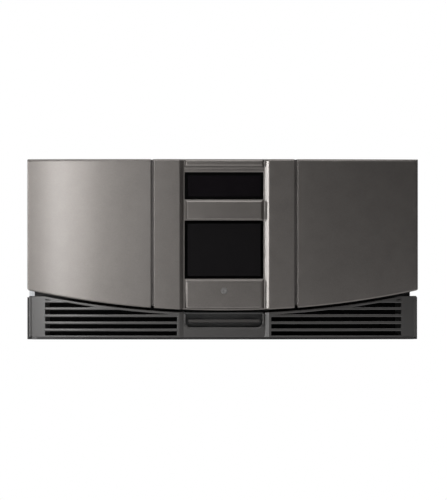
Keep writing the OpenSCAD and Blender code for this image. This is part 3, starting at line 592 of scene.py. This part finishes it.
def carved(mesh, cutter):
    """The mesh with the cutter's shape taken out."""
    holder = linked(mesh.name + ".holder", mesh)
    tool = linked("tool", cutter)
    cut = holder.modifiers.new("cut", "BOOLEAN")
    cut.operation = "DIFFERENCE"
    cut.object = tool
    cut.use_self = True
    result = evaluated_mesh(holder, mesh.name + "_carved")
    bpy.data.objects.remove(tool)
    smooth_by_angle(result)
    return result


def solids(node):
    """The low and high corner of each separate solid of a CAD node."""
    form = bmesh.new()
    form.from_mesh(NODES[node].data)
    bmesh.ops.remove_doubles(form, verts=form.verts, dist=2e-6)
    waiting = set(form.verts)
    boxes = []
    while waiting:
        front = [waiting.pop()]
        found = []
        while front:
            vertex = front.pop()
            found.append(vertex.co.copy())
            for edge in vertex.link_edges:
                other = edge.other_vert(vertex)
                if other in waiting:
                    waiting.remove(other)
                    front.append(other)
        axes = list(zip(*found))
        boxes.append((Vector(min(a) for a in axes), Vector(max(a) for a in axes)))
    form.free()
    return sorted(boxes, key=lambda box: tuple(round(v, 4) for v in box[0]))


def spread(low, high, count):
    """Evenly spaced values from low to high."""
    return [low + (high - low) * i / (count - 1) for i in range(count)]


# ---------------------------------------------------------------- geometry nodes

class Growth(Tree):
    """A Geometry Nodes group with named inputs that ends in one mesh of one material."""

    def __init__(self, name, **inputs):
        self.group = bpy.data.node_groups.new(name, "GeometryNodeTree")
        super().__init__(self.group)
        self.keys = {}
        for title, kind in {"Geometry": "Geometry", "Material": "Material", **inputs}.items():
            self.keys[title] = self._socket(title, "INPUT", kind).identifier
        self._socket("Geometry", "OUTPUT", "Geometry")
        self.entry = self.nodes.new("NodeGroupInput")

    def _socket(self, title, way, kind):
        return self.group.interface.new_socket(title, in_out=way, socket_type="NodeSocket" + kind)

    def __getitem__(self, title):
        return Socket(self, self.entry.outputs[title])

    def vector(self, x=0.0, y=0.0, z=0.0):
        return self.node("ShaderNodeCombineXYZ", {}, x, y, z)

    def joined(self, *parts):
        made = self.nodes.new("GeometryNodeJoinGeometry")
        for part in parts:
            self.links.new(part.link, made.inputs[0])
        return Socket(self, made.outputs[0])

    def close(self, geometry):
        real = self.node("GeometryNodeRealizeInstances", {}, geometry)
        done = self.node("GeometryNodeSetMaterial", {}, Geometry=real, Material=self["Material"])
        self.links.new(done.link, self.nodes.new("NodeGroupOutput").inputs[0])
        return self

    def grow(self, name, mesh, finish, **values):
        """The tree's result on a mesh, as a plain mesh."""
        holder = linked(name + ".holder", mesh)
        modifier = holder.modifiers.new("growth", "NODES")
        modifier.node_group = self.group
        modifier[self.keys["Material"]] = FINISHES[finish]
        for title, value in values.items():
            modifier[self.keys[title]] = value
        return evaluated_mesh(holder, name)


def copies_growth():
    """Copies of one part on every point, turned by the points' own attribute."""
    g = Growth("copies", Part="Object")
    part = g.node("GeometryNodeObjectInfo", {}, g["Part"], out="Geometry")
    turn = g.node("GeometryNodeInputNamedAttribute", {"data_type": "FLOAT_VECTOR"}, "turn")
    return g.close(g.node("GeometryNodeInstanceOnPoints", {}, g["Geometry"], Instance=part,
                          Rotation=turn))


def thread_growth():
    """A screw: a core and the ridges of a thread with several starts around it."""
    g = Growth("thread", Length="Float", Lead="Float", Radius="Float", Depth="Float", Starts="Int")
    core_radius = g["Radius"] - g["Depth"]
    core = g.node("GeometryNodeMeshCylinder", {}, Vertices=32, Radius=core_radius,
                  Depth=g["Length"])
    core = g.node("GeometryNodeTransform", {}, core, Translation=g.vector(z=g["Length"] / 2))
    turns = (g["Length"] - 0.002) / g["Lead"]
    ridge = g.node("GeometryNodeCurveSpiral", {}, Resolution=24, Rotations=turns,
                   Start_Radius=core_radius, End_Radius=core_radius, Height=g["Length"] - 0.002)
    ridge = g.node("GeometryNodeSetCurveNormal", {"mode": "Z_UP"}, ridge)
    section = g.node("GeometryNodeCurvePrimitiveCircle", {}, Resolution=6, Radius=g["Depth"] * 0.96)
    ridge = g.node("GeometryNodeCurveToMesh", {}, ridge, section, Fill_Caps=True)
    starts = g.node("GeometryNodePoints", {}, g["Starts"])
    turn = g.vector(z=g.node("GeometryNodeInputIndex", {}) * (2 * math.pi) / g["Starts"])
    ridges = g.node("GeometryNodeInstanceOnPoints", {}, starts, Instance=ridge, Rotation=turn)
    ridges = g.node("GeometryNodeTransform", {}, ridges, Translation=g.vector(z=0.001))
    whole = g.joined(core, ridges)
    placed = g.node("GeometryNodeInstanceOnPoints", {}, g["Geometry"], Instance=whole)
    return g.close(placed)


def belt_growth():
    """A flat belt along a closed path, with teeth on its inner side."""
    g = Growth("belt", Width="Float", Thickness="Float", Tooth="Float", Teeth="Int")
    path = g.node("GeometryNodeMeshToCurve", {}, g["Geometry"])
    band = g.node("GeometryNodeCurvePrimitiveQuadrilateral", {}, g["Thickness"], g["Width"])
    band = g.node("GeometryNodeCurveToMesh", {}, path, band)
    seats = g.node("GeometryNodeResampleCurve", {}, path, Count=g["Teeth"])
    tangent = g.node("GeometryNodeInputTangent", {})
    turn = g.node("FunctionNodeAlignRotationToVector", {"axis": "Y"}, Vector=tangent)
    tooth = g.node("GeometryNodeMeshCube", {}, g.vector(g["Width"], g["Tooth"] * 4, g["Tooth"]))
    inward = g.vector(z=(g["Thickness"] + g["Tooth"]) * -0.5)
    tooth = g.node("GeometryNodeTransform", {}, tooth, Translation=inward)
    teeth = g.node("GeometryNodeInstanceOnPoints", {}, seats, Instance=tooth, Rotation=turn)
    return g.close(g.joined(band, teeth))


def foam_growth():
    """A soft uneven surface: every point sinks a little by noise."""
    g = Growth("foam", Depth="Float", Cell="Float")
    pores = g.node("ShaderNodeTexNoise", {}, Scale=1.0 / g["Cell"], Detail=2.0)
    normal = g.node("GeometryNodeInputNormal", {})
    sunk = g.node("ShaderNodeVectorMath", {"operation": "SCALE"}, normal,
                  Scale=pores * g["Depth"] * -1.0)
    return g.close(g.node("GeometryNodeSetPosition", {}, g["Geometry"], Offset=sunk))


def points_mesh(name, places):
    """Points with a turn each; a place is a point and the direction that a part's top faces."""
    mesh = bpy.data.meshes.new(name + ".points")
    mesh.from_pydata([tuple(point) for point, _ in places], [], [])
    turns = mesh.attributes.new("turn", "FLOAT_VECTOR", "POINT")
    for item, (_, up) in zip(turns.data, places):
        item.vector = Vector(up).to_track_quat("Z", "Y").to_euler()
    return mesh


def copies(name, part, places, body, slot, finish=None, replaces=()):
    """One piece of equal parts, one at every place."""
    holder = linked(name + ".part", part)
    mesh = GROWTHS["copies"].grow(name, points_mesh(name, places), finish or slot, Part=holder)
    bpy.data.objects.remove(holder)
    return new_piece(name, mesh, body, slot, replaces, finish)


GROWTHS = {}


# ---------------------------------------------------------------- sizes a user may change

class LibrarySizes(bpy.types.PropertyGroup):
    edge_round: FloatProperty(
        name="Edge rounding", description="Radius of the rounded edges of the front pieces",
        default=0.0018, min=0.0002, max=0.002, subtype="DISTANCE", unit="LENGTH")
    sheet_round: FloatProperty(
        name="Sheet rounding", description="Radius of the deburred edges of the sheet metal",
        default=0.0003, min=0.0001, max=0.0006, subtype="DISTANCE", unit="LENGTH")


class LibraryColors(bpy.types.PropertyGroup):
    paint: FloatVectorProperty(
        name="Front paint", description="Colour of the doors and the bezel", size=3,
        default=(0.155, 0.143, 0.134), min=0.0, max=1.0, subtype="COLOR")
    grille: FloatVectorProperty(
        name="Grille", description="Colour of the lower grille", size=3,
        default=(0.029, 0.0265, 0.025), min=0.0, max=1.0, subtype="COLOR")
    chassis: FloatVectorProperty(
        name="Chassis", description="Colour of the plated sheet metal", size=3,
        default=(0.55, 0.56, 0.58), min=0.0, max=1.0, subtype="COLOR")


# ---------------------------------------------------------------- operators

class LIBRARY_OT_finishes(bpy.types.Operator):
    """Gives every CAD node its finish"""
    bl_idname = "library.finishes"
    bl_label = "Finishes"

    def execute(self, context):
        make_finishes(context.scene.library_colors)
        GROWTHS.update(copies=copies_growth(), thread=thread_growth(), belt=belt_growth(),
                       foam=foam_growth())
        for name, node in NODES.items():
            node.data.materials.clear()
            node.data.materials.append(FINISHES[SLOT_OF[name]])
        return {"FINISHED"}


class LIBRARY_OT_front(bpy.types.Operator):
    """Rounds the edges of the doors, the bezel and the grille, and caps the power button"""
    bl_idname = "library.front"
    bl_label = "Front"

    def execute(self, context):
        sizes = context.scene.library_sizes
        for node in ("left_door", "right_door", "center_bezel"):
            dress_rounded(node, sizes.edge_round * 1.6, 3, front_weight)
        for node in ("center_bar", "button_panel"):
            dress_rounded(node, sizes.edge_round * 1.1, 4, plate_weight)
        dress_rounded("lower_grille", sizes.edge_round * 0.6, 3, grille_weight, "grille_paint")
        dress_rounded("pull_handle", sizes.edge_round * 0.6)
        dress_rounded("base_lip", sizes.edge_round * 0.4)
        dress_rounded("window_gasket", sizes.edge_round * 0.2, finish="gasket_rubber")
        self.seals()
        low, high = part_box("power_button")
        radius = solids("power_button")[0][1].x
        stem = 0.0033
        profile = ((radius, 0.0), (radius, 0.0016), (stem + 0.0005, 0.0017),
                   (stem + 0.0005, 0.0074), (stem + 0.0002, 0.0078), (0.0016, 0.0079),
                   (0.0013, 0.0076), (0.0004, 0.0075))
        middle = Vector((0.0, high.y, (low.z + high.z) / 2))
        copies("power_button_cap", turned_mesh("cap", profile, 48), [(middle, FORWARD)],
               "button", "button_plastic", replaces=("power_button",))
        return {"FINISHED"}

    def seals(self):
        """The strips in the grooves between the bezel and the doors."""
        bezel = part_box("center_bezel")
        front = bezel[0].y
        low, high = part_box("right_door")
        strips = []
        for sign in (-1, 1):
            xs = sorted((sign * (bezel[1].x + 0.05 * MM), sign * (low.x - 0.3 * MM)))
            strips.append(((xs[0], front + 0.004, low.z + 0.003),
                           (xs[1], front + 0.008, high.z - 0.0006)))
        new_piece("door_seals", block_mesh("door_seals", strips, 0.0003), "chassis", "black_rubber",
                  finish="seal_rubber")


class LIBRARY_OT_sheet_metal(bpy.types.Operator):
    """Deburrs the sheet metal and sets its screws, rivets and bumpers"""
    bl_idname = "library.sheet_metal"
    bl_label = "Sheet metal"

    def execute(self, context):
        width = context.scene.library_sizes.sheet_round
        # The front frame's dark paint is partly its own colour and partly painted shade: it darkens
        # the gaps and the louvre openings where shade falls.
        dress_rounded("front_frame", width, finish="dark_paint")
        for node in ("base_pan", "left_side_wall", "right_side_wall", "top_cover",
                     "rear_panel", "drive_bay", "magazine_decks", "hinge_brackets", "hinge_pins"):
            dress_rounded(node, width)
        arms = ((0.0017, 0.0003), (0.0003, 0.0017))
        cross = block_mesh("cross", [((-x, -y, 0.0007), (x, y, 0.003)) for x, y in arms], 0.0001)
        profile = ((0.0014, -0.0028), (0.0014, 0.0), (0.003, 0.0), (0.003, 0.0008),
                   (0.0027, 0.0013), (0.0019, 0.0016))
        head = carved(turned_mesh("screw", profile), cross)
        height, head_width = 1.6 * MM, 5.5 * MM
        places = []
        for low, high in solids("cover_screws"):
            middle = (low + high) / 2
            if high.y - low.y > head_width:
                places.append((Vector((middle.x, middle.y, high.z - height)), UPWARD))
            else:
                places.append((Vector((middle.x, high.y - height, middle.z)), BACKWARD))
        copies("cover_screw_set", head, places, "chassis", "polished_steel",
               replaces=("cover_screws",))

        low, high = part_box("right_side_wall")
        profile = ((0.002, 0.0), (0.0019, 0.0004), (0.0013, 0.0008), (0.0005, 0.0009))
        dome = turned_mesh("rivet", profile, 20)
        places = []
        for side in (-1, 1):
            out = (side, 0, 0)
            for y in spread(low.y + 0.02, high.y - 0.02, 10):
                places.append((Vector((side * high.x, y, low.z + 0.006)), out))
            for z in spread(0.03, 0.19, 4):
                places.append((Vector((side * high.x, low.y + 0.008, z)), out))
        copies("side_rivets", dome, places, "chassis", "polished_steel")

        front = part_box("front_frame")[0].y
        profile = ((0.0045, 0.0), (0.0045, 0.002), (0.0037, 0.003), (0.001, 0.0032))
        bumper = turned_mesh("bumper", profile)
        places = [(Vector((side * x, front, z)), FORWARD) for side in (-1, 1)
                  for x, z in ((0.0975, 0.085), (0.0975, 0.2), (0.2265, 0.105), (0.2265, 0.16))]
        copies("door_bumpers", bumper, places, "chassis", "black_rubber")
        return {"FINISHED"}


class LIBRARY_OT_magazines(bpy.types.Operator):
    """Rounds the magazines and cartridges, and adds labels, ridges and handle ribs"""
    bl_idname = "library.magazines"
    bl_label = "Magazines"

    def execute(self, context):
        label = slab_mesh("label", 0.03, 0.0064, -0.0001, 0.0003, 0.0001)
        ridge = slab_mesh("ridge", 0.0004, 0.007, 0.0, 0.0004, 0.0002)
        rib = slab_mesh("rib", 0.0065, 0.0006, -0.0002, 0.0007, 0.0003)
        sunk = 0.6 * MM
        for side, name in ((-1, "left"), (1, "right")):
            body = name + "_magazine_drawer"
            dress_rounded(name + "_magazine", PART_ROUND)
            dress_rounded(name + "_cartridges", 0.0012)
            dress_rounded(name + "_magazine_handle", 0.003, 3)
            inward = (-side, 0, 0)
            labels, ridges = [], []
            for low, high in solids(name + "_cartridges"):
                face = low.x if side > 0 else high.x
                middle = Vector((face + side * sunk, (low.y + high.y) / 2, (low.z + high.z) / 2))
                labels.append((middle, inward))
                for end in (-1, 1):
                    for step in spread(0.034, 0.046, 5):
                        ridges.append((middle + Vector((-side * sunk, end * step, 0.0)), inward))
            copies(name + "_cartridge_labels", label, labels, body, "cartridge_plastic",
                   "label_card")
            copies(name + "_cartridge_ridges", ridge, ridges, body, "cartridge_plastic")
            low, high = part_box(name + "_magazine_handle")
            middle = (low + high) / 2
            ribs = [(Vector((middle.x, low.y, z)), FORWARD)
                    for z in spread(low.z + 0.008, high.z - 0.008, 15)]
            copies(name + "_handle_ribs", rib, ribs, body, "handle_plastic")
        return {"FINISHED"}


class LIBRARY_OT_robot(bpy.types.Operator):
    """Cuts the lift screw's thread, makes the toothed belt and rounds the robot's parts"""
    bl_idname = "library.robot"
    bl_label = "Robot"

    def execute(self, context):
        for node in ("robot_carriage", "lift_platform", "picker_housing", "lift_motor",
                     "track_motor"):
            dress_rounded(node, PART_ROUND)
        for node in ("track_rails", "mast_rods", "picker_turntable", "picker_slide", "left_finger",
                     "right_finger", "motor_pulley", "idler_pulley", "left_lock_pin",
                     "right_lock_pin", "latch_solenoids", "display_module"):
            dress_rounded(node, FINE_ROUND)
        self.lift_thread()
        self.toothed_belt()
        return {"FINISHED"}

    def lift_thread(self):
        """A screw of four starts in place of the plain rod."""
        low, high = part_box("lift_screw")
        foot = bpy.data.meshes.new("screw.foot")
        foot.from_pydata([((low.x + high.x) / 2, (low.y + high.y) / 2, low.z)], [], [])
        screw = GROWTHS["thread"].grow(
            "lift_thread", foot, "polished_steel", Length=high.z - low.z, Lead=0.008,
            Radius=(high.x - low.x) / 2, Depth=0.0008, Starts=4)
        smooth_by_angle(screw, 60.0)
        new_piece("lift_thread", screw, "screw", "polished_steel", ("lift_screw",))

    def toothed_belt(self):
        """A toothed loop around both pulleys."""
        low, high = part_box("track_belt")
        thickness, tooth = 0.00115, 0.00025
        steps, step_angle = 25, 7.5
        reach = (high.z - low.z - thickness) / 2
        middle_z = (low.z + high.z) / 2
        ends = (low.y + (high.z - low.z) / 2, high.y - (high.z - low.z) / 2)
        loop = []
        for end, start_angle in ((ends[1], 90.0), (ends[0], 270.0)):
            for step in range(steps):
                angle = math.radians(start_angle - step * step_angle)
                loop.append(((low.x + high.x) / 2, end + reach * math.cos(angle),
                             middle_z + reach * math.sin(angle)))
        path = bpy.data.meshes.new("belt.path")
        path.from_pydata(loop, [(i, (i + 1) % len(loop)) for i in range(len(loop))], [])
        belt = GROWTHS["belt"].grow("toothed_belt", path, "black_rubber", Width=high.x - low.x,
                                    Thickness=thickness, Tooth=tooth, Teeth=260)
        new_piece("toothed_belt", belt, "chassis", "black_rubber", ("track_belt",))


class LIBRARY_OT_filters(bpy.types.Operator):
    """Makes the foam pads behind the louvres"""
    bl_idname = "library.filters"
    bl_label = "Filters"

    def execute(self, context):
        form = merged_copy("air_filter")
        inner = min(abs(v.co.x) for v in form.vertices) + 1 * MM
        inward = 4.6 * MM
        for vertex in form.vertices:
            if abs(vertex.co.x) < inner:
                vertex.co.x -= math.copysign(inward, vertex.co.x)
        holder = linked("foam.holder", form)
        remesh = holder.modifiers.new("cells", "REMESH")
        remesh.mode = "VOXEL"
        remesh.voxel_size = 0.0022
        block = evaluated_mesh(holder, "foam_block")
        foam = GROWTHS["foam"].grow("foam_pads", block, "filter_foam", Depth=0.0012, Cell=0.004)
        smooth_by_angle(foam, 50.0)
        new_piece("foam_pads", foam, "chassis", "filter_foam", ("air_filter",))
        return {"FINISHED"}


class LIBRARY_OT_rear_modules(bpy.types.Operator):
    """Rounds the drives, supplies and controller, and adds their small fittings"""
    bl_idname = "library.rear_modules"
    bl_label = "Rear modules"

    def execute(self, context):
        knurled = turned_mesh("knurled", ((0.0056, 0.0006), (0.006, 0.0012), (0.006, 0.0066),
                                          (0.0054, 0.0082), (0.002, 0.0083)), 48, 0.00035)
        knob = carved(knurled, slab_mesh("slot", 0.004, 0.0005, 0.0072, 0.01, 0.0001))
        plate = slab_mesh("plate", 0.013, 0.0045, 0.0, 0.0004, 0.0002)
        profile = ((0.0016, 0.0), (0.0016, 0.0006), (0.0011, 0.0012), (0.0003, 0.0014))
        lens = turned_mesh("lens", profile, 20)
        for level in ("lower", "upper"):
            for node in ("_canister", "_tape_drive", "_power_supply"):
                dress_rounded(level + node, PART_ROUND)
            for node in ("_drive_fan", "_supply_fan"):
                dress_rounded(level + node, 0.0004)
            low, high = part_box(level + "_canister")
            middle = (low.z + high.z) / 2
            module = level + "_drive"
            spots = ((0.066, middle - 0.038), (0.066, middle + 0.038))
            self.fit(module, "_knobs", knob, "drive_aluminium", None, *spots)
            self.fit(module, "_plate", plate, "drive_aluminium", "label_card",
                     (-0.038, middle + 0.036))
            self.fit(module, "_lamp", lens, "drive_aluminium", "green_lens", (0.042, middle))
            low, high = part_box(level + "_power_supply")
            middle = (low.z + high.z) / 2
            module = level + "_supply"
            x = low.x + 0.028
            self.fit(module, "_plate", plate, "zinc_steel", "label_card", (x, middle - 0.0185))
            self.fit(module, "_lamp", lens, "zinc_steel", "green_lens", (x, middle + 0.019))
        self.controller()
        return {"FINISHED"}

    def fit(self, module, title, part, slot, finish, *spots):
        """Sets a part on the back of a module, at every (x, z)."""
        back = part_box("rear_panel")[1].y + 0.001
        places = [(Vector((x, back, z)), BACKWARD) for x, z in spots]
        copies(module + title, part, places, module, slot, finish)

    def controller(self):
        """Chips, capacitors, cooling fins and gold contacts on the controller board."""
        dress_rounded("controller_card", FINE_ROUND)
        low = CARD_BOX[0]
        corner = Vector((low.x + 0.004, low.y, low.z + 0.0076))

        def board_part(name, part, finish, spots):
            places = [(corner + Vector(spot), UPWARD) for spot in spots]
            copies("board_" + name, part, places, "controller", "board_green", finish)

        pins = [((x - 0.0011, y - 0.0002, 0.0), (x + 0.0011, y + 0.0002, 0.0006))
                for x in (-0.004, 0.004) for y in spread(-0.0035, 0.0035, 5)]
        spots = [(0.012 + 0.016 * i, 0.014 + 0.009 * (i % 2), 0.0) for i in range(6)]
        spots += [(0.066, 0.05 + 0.014 * i, 0.0) for i in range(4)]
        chip = slab_mesh("chip", 0.0035, 0.0045, 0.0002, 0.0018, 0.0002)
        board_part("chips", chip, "black_plastic", spots)
        board_part("chip_legs", block_mesh("legs", pins, 0.0001), "gold_contact", spots)
        profile = ((0.0033, 0.0), (0.0033, 0.0072), (0.0028, 0.0078), (0.001, 0.0077))
        spots = [(0.02 + 0.009 * i, 0.105 + 0.008 * (i % 2), 0.0) for i in range(8)]
        board_part("capacitors", turned_mesh("can", profile, 20), "drive_aluminium", spots)
        spots = [(x, 0.05, 0.0044) for x in spread(0.0145, 0.0495, 12)]
        fin = slab_mesh("fin", 0.0005, 0.018, 0.0, 0.009, 0.0002)
        board_part("cooling_fins", fin, "drive_aluminium", spots)


class LIBRARY_OT_stage(bpy.types.Operator):
    """Builds the floor, the backdrop, the lamps and the camera"""
    bl_idname = "library.stage"
    bl_label = "Stage"

    def execute(self, context):
        make_stage(context.scene)
        return {"FINISHED"}


def area_lamp(name, place, target, size, power):
    """A rectangular lamp that the camera doesn't see."""
    data = bpy.data.lights.new(name, "AREA")
    data.shape = "RECTANGLE"
    data.size, data.size_y = size
    data.energy = power
    lamp = linked(name, data)
    lamp.visible_camera = False
    lamp.location = place
    lamp.rotation_euler = (Vector(target) - Vector(place)).to_track_quat("-Z", "Y").to_euler()
    return lamp


def strip_lamp(name, target, azimuth, distance, height, size, power):
    """An upright lamp to the left of a target on the front, at an angle from straight ahead."""
    turn = math.radians(azimuth)
    place = (target.x - distance * math.sin(turn), target.y - distance * math.cos(turn), height)
    return area_lamp(name, place, target, size, power)


def white_floor():
    """White to the camera, glowing in reflections with a painted pool of light that is full close
    to the object and fades to a quarter further out, and plain pale paint to everything else.
    """
    f = Finish("floor_white", (0.8, 0.8, 0.8), 0.9)
    x, y, _ = f.axes(f.place)
    apart = f.node("ShaderNodeMath", {"operation": "MAXIMUM"}, x.abs() - CAD_BOX[1].x,
                   y.abs() - CAD_BOX[1].y)
    # Painted light: a pool of light on the floor, seen in reflections, full close to the object and
    # a quarter as bright from 0.4 m out.
    painted_light_pool = 1.0 - apart.smooth(0.08, 0.4) * 0.75
    white = f.ray("Camera") + f.ray("Glossy") * painted_light_pool + f.ray("Transmission")
    glow = f.node("ShaderNodeEmission", {}, Strength=1.0)
    paint = Socket(f, f.shader.outputs[0])
    blend = f.node("ShaderNodeMixShader", {}, white, paint, glow)
    f.links.new(blend.link, f.nodes["Material Output"].inputs["Surface"])
    return f.material


def make_world(scene):
    """White behind the object, and a room around it that is dark in front and pale behind."""
    world = bpy.data.worlds.new("studio")
    world.use_nodes = True
    scene.world = world
    sky = Tree(world.node_tree)
    facing = sky.node("ShaderNodeTexCoord", {}, out="Generated")
    _, behind, upward = sky.axes(facing)
    room = behind.smooth(0.3, 0.8) * 0.6 + upward.smooth(0.15, 0.6) * 0.35
    white = (1.0, 1.0, 1.0)
    ambient = sky.node("ShaderNodeBackground", {}, white, 0.1)
    around = sky.node("ShaderNodeBackground", {}, white, room)
    backdrop = sky.node("ShaderNodeBackground", {}, white, 1.0)
    mirrored = sky.ray("Glossy") + sky.ray("Transmission")
    lit = sky.node("ShaderNodeMixShader", {}, mirrored, ambient, around)
    final = sky.node("ShaderNodeMixShader", {}, sky.ray("Camera"), lit, backdrop)
    sky.links.new(final.link, sky.nodes["World Output"].inputs["Surface"])


def make_stage(scene):
    scene.view_settings.view_transform = "Standard"
    make_world(scene)

    floor_form = bmesh.new()
    bmesh.ops.create_grid(floor_form, x_segments=1, y_segments=1, size=4.0)
    floor_mesh = bpy.data.meshes.new("floor")
    floor_form.to_mesh(floor_mesh)
    floor_form.free()
    floor = linked("floor", floor_mesh)
    floor.location.z = -0.0005
    floor_mesh.materials.append(white_floor())
    make_lamps(CAD_BOX[0].y)
    make_camera(scene, CAD_BOX[0].y)


def make_lamps(front):
    """Strips close to the left door, one far to the left, and broad ones above and behind."""
    door = Vector((-0.165, front, 0.12))
    tall = (0.06, 0.5)
    strip_lamp("key", door, 35.0, 0.65, 0.3, (0.1, 0.7), 3.0)
    strip_lamp("close_left", door, 25.0, 0.35, 0.15, tall, 0.28)
    strip_lamp("close_front", door, 5.0, 0.3, 0.15, tall, 0.08)
    strip_lamp("close_middle", door + Vector((0.085, 0.0, 0.0)), 5.0, 0.3, 0.15, tall, 0.15)
    strip_lamp("edge", Vector((0.05, front, 0.12)), 88.0, 3.5, 0.3, (0.4, 1.2), 92.0)
    area_lamp("top", (0.0, front - 0.2, 1.3), (0.0, front, 0.1), (1.5, 0.5), 8.0)
    back = area_lamp("back", (0.9, 2.4, 1.1), (0.0, 0.3, 0.1), (1.6, 1.2), 26.0)
    back_left = area_lamp("back_left", (-1.8, 1.6, 0.9), (0.0, 0.1, 0.1), (1.2, 1.2), 22.0)
    back.visible_glossy = back_left.visible_glossy = False


def make_camera(scene, front):
    """A long lens a little to the left of straight ahead; the span is the picture's height."""
    data = bpy.data.cameras.new("camera")
    data.sensor_fit = "VERTICAL"
    data.sensor_height = 36.0
    data.lens = 600.0
    camera = linked("camera", data)
    span = 0.6157
    turn = math.radians(2.8)
    distance = data.lens / data.sensor_height * span
    sight = Vector((math.sin(turn), math.cos(turn), 0.0))
    aim = Vector((-0.001, front, 0.1103))
    camera.location = aim - distance * sight
    camera.rotation_euler = (math.radians(90.0), 0.0, -turn)
    data.clip_end = 100.0
    scene.camera = camera


class LIBRARY_PT_panel(bpy.types.Panel):
    """Lists the steps that build the library"""
    bl_idname = "LIBRARY_PT_panel"
    bl_label = "Tape Library"
    bl_space_type = "VIEW_3D"
    bl_region_type = "UI"
    bl_category = "Tape Library"

    def draw(self, context):
        column = self.layout.column(align=True)
        for operator in OPERATORS:
            column.operator(operator.bl_idname)


OPERATORS = (LIBRARY_OT_finishes, LIBRARY_OT_front, LIBRARY_OT_sheet_metal, LIBRARY_OT_magazines,
             LIBRARY_OT_robot, LIBRARY_OT_filters, LIBRARY_OT_rear_modules, LIBRARY_OT_stage)
CLASSES = (LibrarySizes, LibraryColors, *OPERATORS, LIBRARY_PT_panel)


def register():
    for item in CLASSES:
        bpy.utils.register_class(item)
    bpy.types.Scene.library_sizes = PointerProperty(type=LibrarySizes)
    bpy.types.Scene.library_colors = PointerProperty(type=LibraryColors)


def unregister():
    del bpy.types.Scene.library_colors
    del bpy.types.Scene.library_sizes
    for item in reversed(CLASSES):
        bpy.utils.unregister_class(item)


def main():
    register()
    for operator in OPERATORS:
        group, name = operator.bl_idname.split(".")
        getattr(getattr(bpy.ops, group), name)()


if __name__ == "__main__":
    main()
